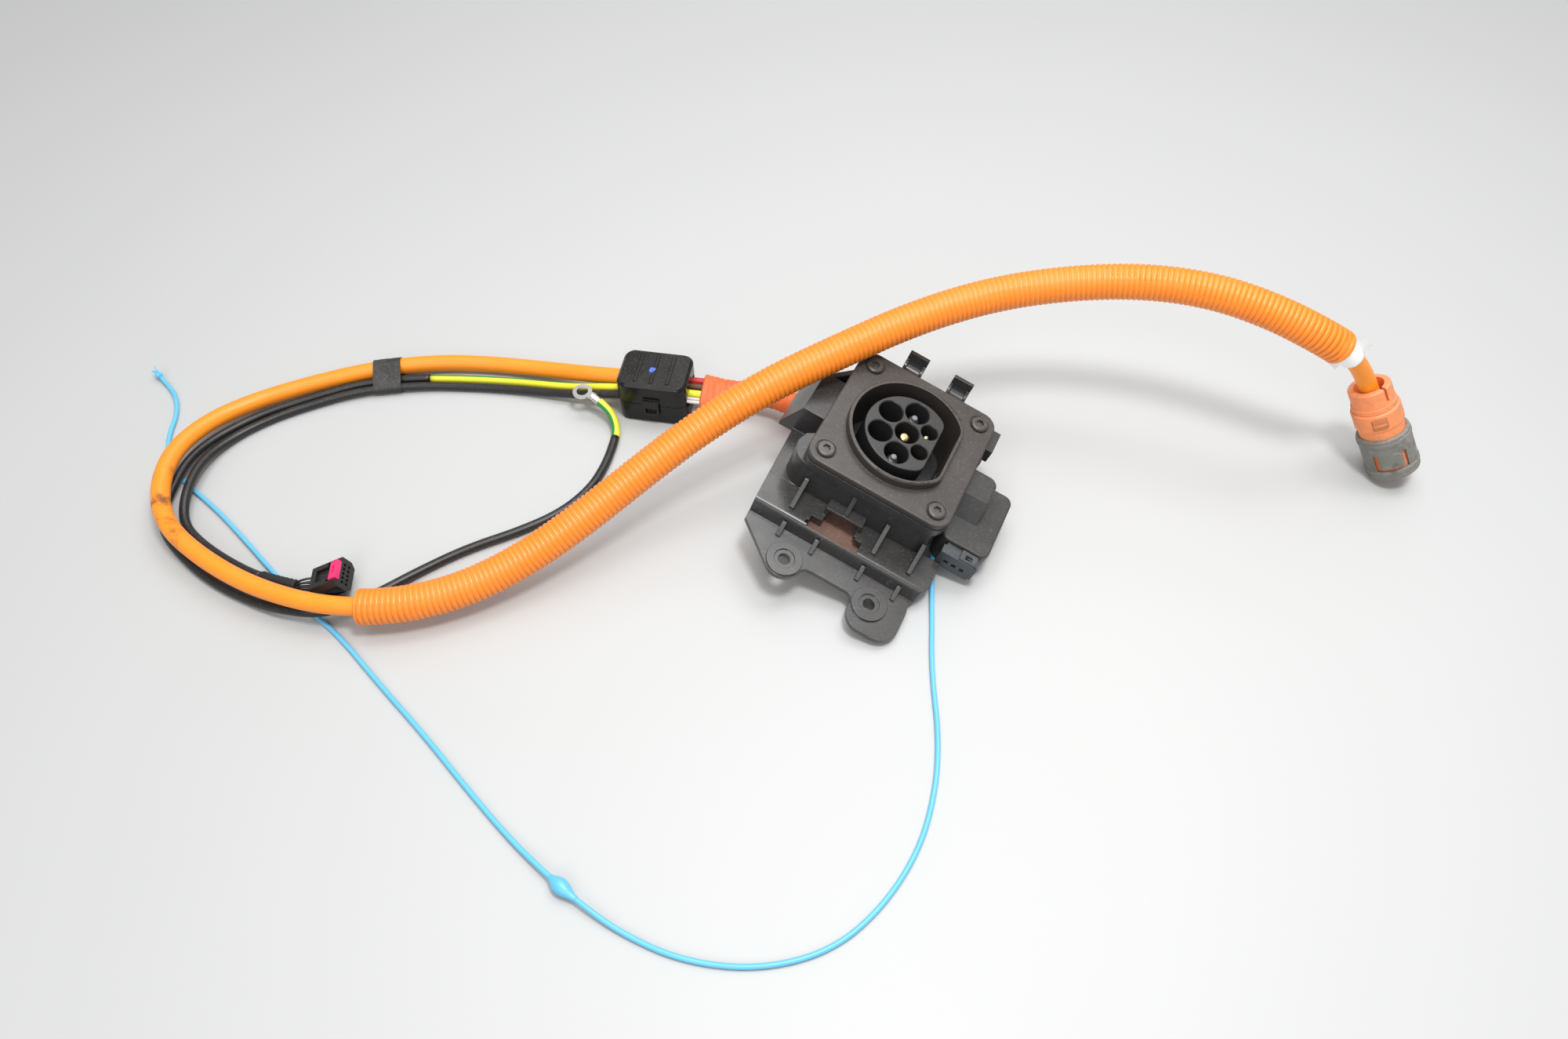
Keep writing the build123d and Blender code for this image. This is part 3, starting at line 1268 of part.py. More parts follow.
# High-voltage plug: collar, body, insert, contacts, clips and backshell on one axis
def disc(radius, s0, s1):
    """Round bar on the plug's axis, between two distances from its mouth."""
    return Pos(0, 0, s0) * Cylinder(radius, s1 - s0, align=(Align.CENTER, Align.CENTER, Align.MIN))


def hv_collar():
    body = disc(COLLAR_R, 0, COLLAR_L)
    body = chamfer(body.faces().sort_by(Axis.Z)[-1].edges(), COLLAR_EDGE)
    for low in (BAND_LOW, COLLAR_L - BAND_TOP_GAP - BAND_L):
        body += disc(COLLAR_R + BAND_OUT, low, low + BAND_L)
    body -= disc(COLLAR_BORE_R, -1, COLLAR_L + 1)
    reach = 2 * COLLAR_R
    for side in (-1, 1):
        y = side * SLOT_APART / 2
        body -= slab(0, reach, y - SLOT_T / 2, y + SLOT_T / 2, SLOT_FOOT, SLOT_TOP)
    body -= slab(0, reach, -SLOT_FOOT_W / 2, SLOT_FOOT_W / 2, SLOT_FOOT, SLOT_FOOT + SLOT_T)
    return body


def hv_body():
    slim = COLLAR_BORE_R - COLLAR_PLAY
    body = disc(slim, SHELL_LOW, SHELL_SHOULDER + 1) + disc(SHELL_R, SHELL_SHOULDER, SHELL_TOP)
    body = chamfer(body.faces().sort_by(Axis.Z)[-1].edges(), SHELL_EDGE)
    body -= disc(INSERT_R + INSERT_PLAY, -1, SHELL_TOP - SHELL_FLOOR)
    body -= disc(BACKSHELL_R, SHELL_TOP - SHELL_FLOOR - 0.1, SHELL_TOP + 1)
    reach = 2 * COLLAR_R
    windows = slab(-reach, reach, -CLIP_W / 2, CLIP_W / 2, CLIP_LOW, CLIP_HIGH)
    return body - (windows - disc(SHELL_R - CLIP_DEPTH, 0, SHELL_TOP))


def hv_clips():
    """Two spring clips in the windows of the plug's body."""
    wrap = disc(SHELL_R + CLIP_OUT, CLIP_LOW + CLIP_PLAY, CLIP_HIGH - CLIP_PLAY)
    wrap -= disc(SHELL_R - CLIP_DEPTH, 0, SHELL_TOP)
    low, high = (CLIP_LOW + s for s in CLIP_NOSE)
    nose = disc(SHELL_R + CLIP_NOSE_OUT, low, high) - disc(SHELL_R, 0, SHELL_TOP)
    ring = wrap + nose
    half = CLIP_W / 2 - CLIP_PLAY
    reach = 2 * COLLAR_R
    return joined([ring & slab(x0, x1, -half, half, 0, SHELL_TOP) for x0, x1 in ((0, reach), (-reach, 0))])


def hv_insert():
    body = disc(INSERT_R, INSERT_LOW, SHELL_TOP - SHELL_FLOOR)
    for x, y in HV_CONTACTS:
        body -= Pos(x, y, 0) * disc(CONTACT_R, INSERT_LOW - 1, CONTACT_TOP)
        body -= Pos(x, y, 0) * disc(CONTACT_R + CELL_WIDER, INSERT_LOW - 1, INSERT_LOW + CELL_DEPTH)
    half = INSERT_SLOT_W / 2
    return body - slab(-INSERT_R, INSERT_R, -half, half, INSERT_LOW - 1, INSERT_LOW + INSERT_SLOT_DEPTH)


def hv_contacts():
    cup = disc(CONTACT_R - CONTACT_PLAY, INSERT_LOW + CONTACT_SET_BACK, CONTACT_TOP)
    cup -= disc(CONTACT_R - CONTACT_WALL, 0, CONTACT_TOP - CONTACT_BOTTOM_T)
    return joined([Pos(x, y, 0) * cup for x, y in HV_CONTACTS])


def hv_backshell():
    foot = SHELL_TOP - SHELL_FLOOR
    body = disc(BACKSHELL_R - BACKSHELL_PLAY, foot, BACKSHELL_TOP)
    low, high = (SHELL_TOP + s for s in BACKSHELL_RING)
    body += disc(BACKSHELL_R + BACKSHELL_RING_OUT, low, high)
    body = fillet(body.faces().sort_by(Axis.Z)[-1].edges(), BACKSHELL_EDGE)
    body -= disc(BACKSHELL_BORE_R, foot - 1, BACKSHELL_TOP + 1)
    half = BACKSHELL_SLIT_W / 2
    slit = slab(0, 2 * BACKSHELL_R, -half, half, SHELL_TOP + BACKSHELL_SLIT_LOW, BACKSHELL_TOP + 1)
    return body - Rot(0, 0, BACKSHELL_SLIT_TURN) * slit


# Blank label folded round the cable where the conduit ends
def label_flag():
    route = stretch(CABLE_ROUTE, CONDUIT_LAST, CONDUIT_LAST + 1)
    wrap = tube("label_flag", route, LABEL_D, CABLE_D + 2 * LABEL_PLAY)
    corner = CABLE_ROUTE[CONDUIT_LAST + 1]
    toward = Vector(*CABLE_ROUTE[CONDUIT_LAST + 2]) - Vector(*CABLE_ROUTE[CONDUIT_LAST])
    tab = Plane(origin=corner, x_dir=toward, z_dir=toward.cross(Vector(0, 0, 1)))
    out = LABEL_D / 2 + LABEL_GAP + LABEL_OUT / 2
    flag = extrude(tab * Pos(0, -out) * Rectangle(LABEL_L, LABEL_OUT), LABEL_T)
    return wrap + flag


# Ring terminal: crimped barrel, then a flat tongue and its ring
def ring_terminal():
    last, before = Vector(*GROUND_ROUTE[-1]), Vector(*GROUND_ROUTE[-2])
    heading = (last - before).normalized()
    crimp = Plane(origin=last + heading * CRIMP_GAP, z_dir=heading)
    body = extrude(crimp * Circle(GROUND_WIRE_D / 2), BARREL_L)
    tip = last + heading * BARREL_L
    flat = Plane(origin=tip, x_dir=Vector(heading.X, heading.Y, 0), z_dir=(0, 0, 1))
    tongue = Rectangle(RING_REACH + TONGUE_LAP, TONGUE_W)
    ring = Pos(RING_REACH, 0) * Circle(RING_R) + Pos((RING_REACH - TONGUE_LAP) / 2, 0) * tongue
    ring -= Pos(RING_REACH, 0) * Circle(RING_HOLE_D / 2)
    return body + extrude(flat * ring, RING_T / 2, both=True)


# Tape round the three cords, where they run side by side
def tape_wrap():
    middle_spot = []
    for route in (CABLE_ROUTE, GROUND_ROUTE, SIGNAL_ROUTE):
        middle_spot.append(crossing(route, TAPE_SPOT[0]))
    turn = radians(TAPE_HEADING)
    side = Plane(origin=(*TAPE_SPOT, 0), z_dir=(cos(turn), sin(turn), 0))
    rounds = []
    for (x, y, z), diameter in zip(middle_spot, (CABLE_D, GROUND_SLEEVE_D, SIGNAL_D)):
        local = side.to_local_coords(Vector(x, y, z))
        rounds.append((local.X, local.Y, diameter / 2))
    outer = hull_of(rounds, TAPE_PLAY + TAPE_T)
    inner = hull_of(rounds, TAPE_PLAY)
    return extrude(side * (outer - inner), TAPE_L / 2, both=True)


def crossing(route, x):
    """Where a route passes a given X."""
    for a, b in zip(route, route[1:]):
        if (a[0] - x) * (b[0] - x) <= 0:
            t = (x - a[0]) / (b[0] - a[0])
            return tuple(p + (q - p) * t for p, q in zip(a, b))
    raise ValueError("the route does not pass there")


def hull_of(rounds, extra):
    """Outline pulled tight round several circles that are each a little larger."""
    circles = Sketch() + [Pos(x, y) * Circle(radius + extra) for x, y, radius in rounds]
    return make_face(make_hull(circles.edges()))


# Signal plug: a small housing with two rows of cavities in its raised end
def signal_plug():
    body = slab(0, SIGNAL_L, -SIGNAL_W / 2, SIGNAL_W / 2, 0, SIGNAL_H)
    body = chamfer(body.edges().filter_by(Axis.X), SIGNAL_EDGE)
    half, end = SIGNAL_W / 2 - SIGNAL_SIDE_T, SIGNAL_L - SIGNAL_END_T
    body -= slab(-1, end, -half, half, SIGNAL_FLOOR_T, SIGNAL_H - SIGNAL_ROOF_T)
    near, far = SADDLE[0], SIGNAL_L - SADDLE[1]
    body -= slab(near, far, -SADDLE_W / 2, SADDLE_W / 2, SIGNAL_H - SADDLE_DEPTH, SIGNAL_H + 1)
    wall = -SIGNAL_W / 2
    body -= slab(*SIDE_NOTCH, wall - 1, wall + SIDE_NOTCH_DEPTH, SIDE_NOTCH_Z, SIGNAL_H - SIDE_NOTCH_Z)
    half = CAVITY / 2
    for i in range(CAVITIES_ACROSS):
        y = (i - (CAVITIES_ACROSS - 1) / 2) * CAVITY_PITCH
        for z in CAVITY_ROWS:
            body -= slab(SIGNAL_L - CAVITY_DEPTH, SIGNAL_L + 1, y - half, y + half, z - half, z + half)
    return body - lock_way(LOCK_TIGHT + 2 * LOCK_CLEAR, LOCK_L + LOCK_SLIDE)


def lock_way(width, length):
    """Slot across the top of the signal plug, and the block that fills it."""
    front, top = SIGNAL_L + LOCK_PROUD, SIGNAL_H + LOCK_PROUD
    return slab(SIGNAL_L - length, front, -width / 2, width / 2, SIGNAL_H - LOCK_DEPTH, top)


def signal_lock():
    near, far = (SIGNAL_L - x for x in LOCK_GRIP)
    half = LOCK_GRIP_W / 2
    groove = slab(near, far, -half, half, SIGNAL_H - LOCK_GRIP_DEPTH, SIGNAL_H + 1)
    return Pos(0, 0, LOCK_CLEAR) * (lock_way(LOCK_TIGHT, LOCK_L) - groove)


# Thin wires that fan out from the strand's boot into the signal plug
def signal_wires():
    start = Vector(*SIGNAL_ROUTE[-1])
    rods = []
    for row in (-1, 1):
        for i in (-1, 0, 1):
            a = start + Vector(WIRE_START[0], WIRE_START[1] * i, WIRE_START[2] * row)
            x, y, z = WIRE_END
            b = (SIGNAL_SEAT * Pos(x, y * i, z + WIRE_END_ROW * row)).position
            rod = Plane(origin=a, z_dir=b - a) * Circle(SIGNAL_WIRE_D / 2)
            rods.append(extrude(rod, (b - a).length))
            print(f"signal wire: length {(b - a).length:.1f}, straight")
    return joined(rods)


# Small bead on the release cord, and the knot at its far end
def cord_bulb():
    a, b = RELEASE_ROUTE[BULB_RUN], RELEASE_ROUTE[BULB_RUN + 1]
    heading = Vector(*b) - Vector(*a)
    spot = Plane(origin=middle(RELEASE_ROUTE, BULB_RUN), z_dir=heading)
    half = BULB_L / 2
    flank_r, flank = BULB_R * 0.8, half * 0.55
    profile = Spline((0, -half), (flank_r, -flank), (BULB_R, 0), (flank_r, flank), (0, half))
    bead = revolve(Plane.XZ * make_face(profile + Line((0, -half), (0, half))), Axis.Z)
    bead -= Cylinder(RELEASE_D / 2 + BULB_PLAY, 2 * BULB_L)
    return spot.location * bead


def cord_knot():
    end = Vector(*RELEASE_ROUTE[-1])
    heading = end - Vector(*RELEASE_ROUTE[-2])
    heading = Vector(heading.X, heading.Y, 0).normalized()
    thin = RELEASE_D / 2
    points = [(thin, 0), (KNOT_R, KNOT_R * 0.7), (KNOT_R * 0.8, KNOT_R * 1.5), (KNOT_R, KNOT_R * 2.2)]
    points += [(thin, KNOT_R * 3), (thin * 0.9, KNOT_R * 3.6), (thin * 1.1, KNOT_R * 3 + KNOT_TAIL)]
    outline = Spline(*points)
    closing = Polyline(points[-1], (0, points[-1][1]), (0, 0), points[0])
    knot = revolve(Plane.XZ * make_face(outline + closing), Axis.Z)
    start = end + heading * KNOT_GAP + Vector(0, 0, KNOT_R - end.Z + KNOT_LIFT)
    return Plane(origin=start, z_dir=heading).location * knot


write("mounting_bracket", SEAT * mounting_bracket())
write("bracket_rim", SEAT * bracket_rim())
write("bracket_tub", SEAT * bracket_tub())
write("clip_hooks", SEAT * clip_hooks())
write("inlet_flange", SEAT * inlet_flange())
write("flange_seal", SEAT * flange_seal())
write("flange_screws", SEAT * flange_screws())
write("contact_carrier", SEAT * contact_carrier())
write("carrier_base", SEAT * carrier_base())
write("contact_pe", SEAT * pin(POWER_PIN_D, PE_TIP, POWER_BORES[0]))
write("contact_l1", SEAT * pin(POWER_PIN_D, POWER_TIP, POWER_BORES[1]))
write("contact_n", SEAT * pin(POWER_PIN_D, POWER_TIP, POWER_BORES[2]))
write("contact_cp", SEAT * pin(SIGNAL_PIN_D, CP_TIP, SIGNAL_BORES[0]))
write("contact_pp", SEAT * pin(SIGNAL_PIN_D, PP_TIP, SIGNAL_BORES[1]))
write("touch_guards", SEAT * touch_guards())
write("rear_housing", SEAT * rear_housing())
write("actuator_case", SEAT * actuator_case())
write("actuator_cover", SEAT * actuator_cover())
write("actuator_plug", SEAT * actuator_plug())
write("lock_pin", SEAT * lock_pin())
write("release_lever", SEAT * release_lever())

write("ferrite_case", BOX * ferrite_case())
write("ferrite_lid", BOX * ferrite_lid())
write("ferrite_core", BOX * ferrite_half(BOX_WALL, PARTING - PARTING_GAP / 2))
write("ferrite_core_upper", BOX * ferrite_half(PARTING + PARTING_GAP / 2, BOX_H - BOX_WALL))
for lead_name in LEADS:
    write(lead_name, lead(lead_name))
write("lead_sleeve", lead_sleeve())

write("hv_cable", tube("hv_cable", stretch(CABLE_ROUTE), CABLE_D))
conduit_route = stretch(CABLE_ROUTE, CONDUIT_FIRST, CONDUIT_LAST)
write("conduit", tube("conduit", conduit_route, CONDUIT_D, CONDUIT_BORE))
write("hv_collar", PLUG_PLANE.location * hv_collar())
write("hv_body", PLUG_PLANE.location * hv_body())
write("hv_clips", PLUG_PLANE.location * hv_clips())
write("hv_insert", PLUG_PLANE.location * hv_insert())
write("hv_contacts", PLUG_PLANE.location * hv_contacts())
write("hv_backshell", PLUG_PLANE.location * hv_backshell())
write("label_flag", label_flag())

write("ground_wire", tube("ground_wire", stretch(GROUND_ROUTE, None, SLEEVE_FIRST), GROUND_WIRE_D))
sleeve_route = stretch(GROUND_ROUTE, SLEEVE_FIRST, SLEEVE_LAST)
write("ground_sleeve", tube("ground_sleeve", sleeve_route, GROUND_SLEEVE_D))
write("ground_shrink", tube("ground_shrink", stretch(GROUND_ROUTE, SLEEVE_LAST), SHRINK_D))
write("ring_terminal", ring_terminal())
signal_run = stretch(SIGNAL_ROUTE, None, BOOT_RUN)
write("signal_cable", tube("signal_cable", signal_run, SIGNAL_D))
write("signal_boot", tube("signal_boot", stretch(SIGNAL_ROUTE, BOOT_RUN), BOOT_D))
write("signal_wires", signal_wires())
write("signal_plug", SIGNAL_SEAT * signal_plug())
write("signal_lock", SIGNAL_SEAT * signal_lock())
write("tape_wrap", tape_wrap())

write("release_cord", tube("release_cord", stretch(RELEASE_ROUTE), RELEASE_D))
write("cord_bulb", cord_bulb())
write("cord_knot", cord_knot())
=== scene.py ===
# %% [markdown]
# # A charging inlet and its harness
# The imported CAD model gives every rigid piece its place. This lesson dresses those pieces in
# materials, and models again what is soft: cables, a corrugated hose, sleeves, tape and a label.
# Everything is in metres, in the frame of the CAD model, with the floor at height zero.

# %% Load the frame
import json
import math

import bmesh
import bpy
from mathutils import Matrix, Vector
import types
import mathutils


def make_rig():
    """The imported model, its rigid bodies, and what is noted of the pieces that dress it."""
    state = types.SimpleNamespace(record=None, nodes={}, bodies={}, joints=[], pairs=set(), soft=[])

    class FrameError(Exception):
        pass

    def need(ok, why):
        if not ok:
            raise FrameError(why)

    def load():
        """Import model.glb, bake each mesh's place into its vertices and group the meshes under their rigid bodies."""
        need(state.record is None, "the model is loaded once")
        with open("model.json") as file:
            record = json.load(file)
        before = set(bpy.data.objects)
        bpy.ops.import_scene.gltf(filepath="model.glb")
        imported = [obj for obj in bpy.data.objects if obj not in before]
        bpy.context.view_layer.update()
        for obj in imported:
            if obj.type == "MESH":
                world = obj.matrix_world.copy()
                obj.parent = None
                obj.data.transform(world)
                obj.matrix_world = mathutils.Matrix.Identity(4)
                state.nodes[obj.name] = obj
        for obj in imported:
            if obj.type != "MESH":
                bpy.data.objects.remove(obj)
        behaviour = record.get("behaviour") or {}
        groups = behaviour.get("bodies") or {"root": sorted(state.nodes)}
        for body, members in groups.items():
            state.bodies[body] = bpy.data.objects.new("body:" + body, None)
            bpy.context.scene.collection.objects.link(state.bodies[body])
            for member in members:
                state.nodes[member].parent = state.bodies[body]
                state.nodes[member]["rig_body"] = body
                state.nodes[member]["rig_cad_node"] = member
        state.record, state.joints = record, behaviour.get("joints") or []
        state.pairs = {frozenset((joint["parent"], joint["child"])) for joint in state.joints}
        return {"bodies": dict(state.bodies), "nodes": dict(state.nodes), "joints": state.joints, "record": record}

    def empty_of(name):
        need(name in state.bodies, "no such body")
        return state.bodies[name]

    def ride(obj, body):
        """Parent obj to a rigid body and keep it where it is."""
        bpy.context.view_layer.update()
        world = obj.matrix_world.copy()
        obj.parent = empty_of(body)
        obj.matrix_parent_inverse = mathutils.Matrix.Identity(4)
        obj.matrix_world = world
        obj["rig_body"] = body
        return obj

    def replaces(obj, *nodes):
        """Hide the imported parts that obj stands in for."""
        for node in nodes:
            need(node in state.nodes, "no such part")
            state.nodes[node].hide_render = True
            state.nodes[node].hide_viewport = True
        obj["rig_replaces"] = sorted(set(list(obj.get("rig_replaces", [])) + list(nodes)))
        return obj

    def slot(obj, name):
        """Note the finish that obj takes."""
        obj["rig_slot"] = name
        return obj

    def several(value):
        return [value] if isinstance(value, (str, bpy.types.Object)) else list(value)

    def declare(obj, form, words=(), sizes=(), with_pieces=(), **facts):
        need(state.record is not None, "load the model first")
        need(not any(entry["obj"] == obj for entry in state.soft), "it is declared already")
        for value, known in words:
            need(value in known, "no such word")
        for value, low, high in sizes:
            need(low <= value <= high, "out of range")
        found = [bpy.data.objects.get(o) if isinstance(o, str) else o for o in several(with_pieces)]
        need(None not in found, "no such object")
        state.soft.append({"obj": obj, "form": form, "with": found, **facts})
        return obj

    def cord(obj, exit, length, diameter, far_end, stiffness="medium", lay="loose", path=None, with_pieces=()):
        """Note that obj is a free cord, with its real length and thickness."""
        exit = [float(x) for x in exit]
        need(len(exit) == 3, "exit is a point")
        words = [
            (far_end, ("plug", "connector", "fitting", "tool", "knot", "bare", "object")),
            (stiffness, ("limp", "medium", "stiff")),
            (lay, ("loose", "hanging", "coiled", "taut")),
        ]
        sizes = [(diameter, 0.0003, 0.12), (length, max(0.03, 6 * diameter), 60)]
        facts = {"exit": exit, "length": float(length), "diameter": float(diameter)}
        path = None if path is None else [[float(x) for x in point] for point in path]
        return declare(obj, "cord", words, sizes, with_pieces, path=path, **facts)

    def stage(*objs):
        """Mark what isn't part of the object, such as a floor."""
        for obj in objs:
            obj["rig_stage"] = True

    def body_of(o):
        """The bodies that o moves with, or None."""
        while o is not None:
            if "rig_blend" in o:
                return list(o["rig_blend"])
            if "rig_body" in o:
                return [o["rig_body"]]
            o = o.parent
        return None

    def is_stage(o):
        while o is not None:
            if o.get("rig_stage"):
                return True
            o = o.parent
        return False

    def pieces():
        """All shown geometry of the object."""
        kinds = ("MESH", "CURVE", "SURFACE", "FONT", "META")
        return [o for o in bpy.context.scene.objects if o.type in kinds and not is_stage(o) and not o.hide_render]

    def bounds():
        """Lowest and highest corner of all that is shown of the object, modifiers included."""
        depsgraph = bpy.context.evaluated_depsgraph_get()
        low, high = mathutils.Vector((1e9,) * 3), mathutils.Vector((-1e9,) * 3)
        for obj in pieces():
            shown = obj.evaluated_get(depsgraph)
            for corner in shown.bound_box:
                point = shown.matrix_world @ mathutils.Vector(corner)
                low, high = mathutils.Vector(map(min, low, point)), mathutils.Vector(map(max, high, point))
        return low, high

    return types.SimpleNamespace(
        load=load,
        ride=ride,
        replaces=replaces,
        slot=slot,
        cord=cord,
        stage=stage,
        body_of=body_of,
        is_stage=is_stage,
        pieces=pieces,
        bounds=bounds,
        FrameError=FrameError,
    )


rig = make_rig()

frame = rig.load()
nodes = frame["nodes"]
cad_low, cad_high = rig.bounds()
print("CAD nodes:", len(nodes), "box:", [round(v, 4) for v in (*cad_low, *cad_high)])

# %% [markdown]
# ## Camera, floor and light
# The camera has the photograph's viewpoint: 0.45 m above the floor, tilted 52.6 degrees down. Its
# lens is worked out from the focal length in pixels, for an image 2000 pixels wide.

# %% Camera
PHOTO_WIDTH = 2000
FOCAL_PIXELS = 1380
camera_data = bpy.data.cameras.new("camera")
camera_data.sensor_width = 36.0
camera_data.lens = camera_data.sensor_width * FOCAL_PIXELS / PHOTO_WIDTH
camera_data.clip_start = 0.01
camera = bpy.data.objects.new("camera", camera_data)
camera.location = (-0.0477, -0.3393, 0.450)
camera.rotation_euler = (math.radians(90 - 52.6), 0.0, 0.0)
bpy.context.scene.collection.objects.link(camera)
bpy.context.scene.camera = camera
bpy.context.scene.view_settings.view_transform = "Standard"
print("lens:", round(camera_data.lens, 2), "mm")

# %% Helpers for shader nodes
def add(tree, kind, operation=None, **inputs):
    """Adds a node; inputs are named sockets, or i0, i1 by number. Sockets are linked."""
    node = tree.nodes.new(kind)
    if operation:
        node.operation = operation
    for key, value in inputs.items():
        numbered = key[0] == "i" and key[1:].isdigit()
        socket = node.inputs[int(key[1:]) if numbered else key.replace("_", " ")]
        if isinstance(value, bpy.types.NodeSocket):
            tree.links.new(value, socket)
        else:
            socket.default_value = value
    return node


def math_node(tree, operation, a, b=0.0, clamp=False):
    """The result of one sum on two values or sockets."""
    node = add(tree, "ShaderNodeMath", operation, i0=a, i1=b)
    node.use_clamp = clamp
    return node.outputs[0]


def blend_colors(tree, factor, a, b):
    """Mixes two colours."""
    node = tree.nodes.new("ShaderNodeMix")
    node.data_type = "RGBA"
    for index, value in ((0, factor), (6, a), (7, b)):
        if isinstance(value, bpy.types.NodeSocket):
            tree.links.new(value, node.inputs[index])
        else:
            node.inputs[index].default_value = value
    return node.outputs[2]


def new_group(name, inputs, outputs):
    """An empty node group with named float sockets."""
    tree = bpy.data.node_groups.new(name, "ShaderNodeTree")
    for label, default in inputs.items():
        socket = tree.interface.new_socket(
            name=label, in_out="INPUT", socket_type="NodeSocketFloat"
        )
        socket.default_value = default
    for label in outputs:
        tree.interface.new_socket(name=label, in_out="OUTPUT", socket_type="NodeSocketFloat")
    return tree, tree.nodes.new("NodeGroupInput"), tree.nodes.new("NodeGroupOutput")


def use_group(tree, name, **values):
    """Places a node group in a material with its own values."""
    node = tree.nodes.new("ShaderNodeGroup")
    node.node_tree = bpy.data.node_groups[name]
    for key, value in values.items():
        node.inputs[key].default_value = value
    return node

# %% [markdown]
# ## Effects that many finishes share
# Moulded plastic has a fine grain and a slow drift in tone. A part that has been on a car has
# dust on what faces up, and scuffs. Each effect is one node group, so a change to it reaches
# every material, while each material keeps its own strength.

# %% Grain, dust and scuffs
def build_effects():
    tree, given, result = new_group("moulded_grain", {"Scale": 1500.0}, ("Height", "Tone"))
    place = add(tree, "ShaderNodeTexCoord").outputs["Object"]
    fine = add(tree, "ShaderNodeTexNoise", Vector=place, Scale=given.outputs["Scale"], Detail=3.0)
    slow_scale = math_node(tree, "MULTIPLY", given.outputs["Scale"], 0.06)
    slow = add(tree, "ShaderNodeTexNoise", Vector=place, Scale=slow_scale, Detail=5.0)
    tree.links.new(fine.outputs[0], result.inputs["Height"])
    tree.links.new(slow.outputs[0], result.inputs["Tone"])

    tree, given, result = new_group("settled_dust", {"Amount": 0.3}, ("Mask",))
    place = add(tree, "ShaderNodeTexCoord").outputs["Object"]
    facing = add(tree, "ShaderNodeNewGeometry").outputs["Normal"]
    upward = add(tree, "ShaderNodeSeparateXYZ", Vector=facing).outputs["Z"]
    upward = add(tree, "ShaderNodeMapRange", Value=upward, From_Min=0.1, From_Max=1.0).outputs[0]
    patch = add(tree, "ShaderNodeTexNoise", Vector=place, Scale=55.0, Detail=7.0, Roughness=0.7)
    patch = add(
        tree, "ShaderNodeMapRange", Value=patch.outputs[0], From_Min=0.42, From_Max=0.75
    ).outputs[0]
    speck = add(tree, "ShaderNodeTexNoise", Vector=place, Scale=900.0, Detail=2.0)
    speck = add(
        tree, "ShaderNodeMapRange", Value=speck.outputs[0], From_Min=0.56, From_Max=0.7
    ).outputs[0]
    both = math_node(tree, "ADD", math_node(tree, "MULTIPLY", patch, 0.6), speck)
    mask = math_node(tree, "MULTIPLY", both, upward)
    mask = math_node(tree, "MULTIPLY", mask, given.outputs["Amount"], clamp=True)
    tree.links.new(mask, result.inputs["Mask"])

    tree, given, result = new_group("scuffs", {"Amount": 0.3, "Scale": 90.0}, ("Mask",))
    place = add(tree, "ShaderNodeTexCoord").outputs["Object"]
    drawn = add(tree, "ShaderNodeMapping", Vector=place, Rotation=(0.4, 0.9, 0.6), Scale=(1, 14, 3))
    line = add(
        tree, "ShaderNodeTexNoise", Vector=drawn.outputs[0], Scale=given.outputs["Scale"],
        Detail=6.0, Distortion=0.6,
    )
    line = add(
        tree, "ShaderNodeMapRange", Value=line.outputs[0], From_Min=0.6, From_Max=0.72
    ).outputs[0]
    mask = math_node(tree, "MULTIPLY", line, given.outputs["Amount"], clamp=True)
    tree.links.new(mask, result.inputs["Mask"])


build_effects()
print("effects:", [group.name for group in bpy.data.node_groups])

# %% [markdown]
# ## One recipe for most finishes
# Plastic, rubber and metal here differ in colour, roughness, grain and how much dust they hold.
# One function builds them all: the tone drifts between two shades, dust lightens what faces up,
# and scuffs make the surface a little rougher or paler.

# %% The recipe
DUST = (0.33, 0.30, 0.25, 1.0)


def finish(name, color, rough, grain=1500.0, bump=0.2, dust=0.0, scuff=0.0, metallic=0.0,
           vary=0.2, specular=0.5, coat=0.0, depth=0.00005):
    """A material from the shared effects."""
    material = bpy.data.materials.new(name)
    material.use_nodes = True
    tree = material.node_tree
    shader = tree.nodes["Principled BSDF"]
    shader.inputs["Metallic"].default_value = metallic
    shader.inputs["Specular IOR Level"].default_value = specular
    shader.inputs["Coat Weight"].default_value = coat
    shader.inputs["Coat Roughness"].default_value = 0.25
    surface = use_group(tree, "moulded_grain", Scale=grain)
    dusty = use_group(tree, "settled_dust", Amount=dust)
    scuffed = use_group(tree, "scuffs", Amount=scuff)
    dark = (*[c * (1 - vary) for c in color], 1.0)
    light = (*[min(1.0, c * (1 + vary)) for c in color], 1.0)
    paint = blend_colors(tree, surface.outputs["Tone"], dark, light)
    worn = (*[min(1.0, c * 1.4 + 0.03) for c in color], 1.0)
    paint = blend_colors(tree, scuffed.outputs["Mask"], paint, worn)
    paint = blend_colors(tree, dusty.outputs["Mask"], paint, DUST)
    tree.links.new(paint, shader.inputs["Base Color"])
    haze = math_node(tree, "MULTIPLY", dusty.outputs["Mask"], 0.3)
    drift = math_node(tree, "MULTIPLY", surface.outputs["Tone"], 0.2)
    total = math_node(tree, "ADD", math_node(tree, "ADD", drift, haze), rough - 0.1, clamp=True)
    tree.links.new(total, shader.inputs["Roughness"])
    relief = add(
        tree, "ShaderNodeBump", Height=surface.outputs["Height"], Strength=bump, Distance=depth
    )
    tree.links.new(relief.outputs[0], shader.inputs["Normal"])
    return material


def dress(material, *names):
    """Gives CAD nodes a material."""
    for name in names:
        nodes[name].data.materials.clear()
        nodes[name].data.materials.append(material)

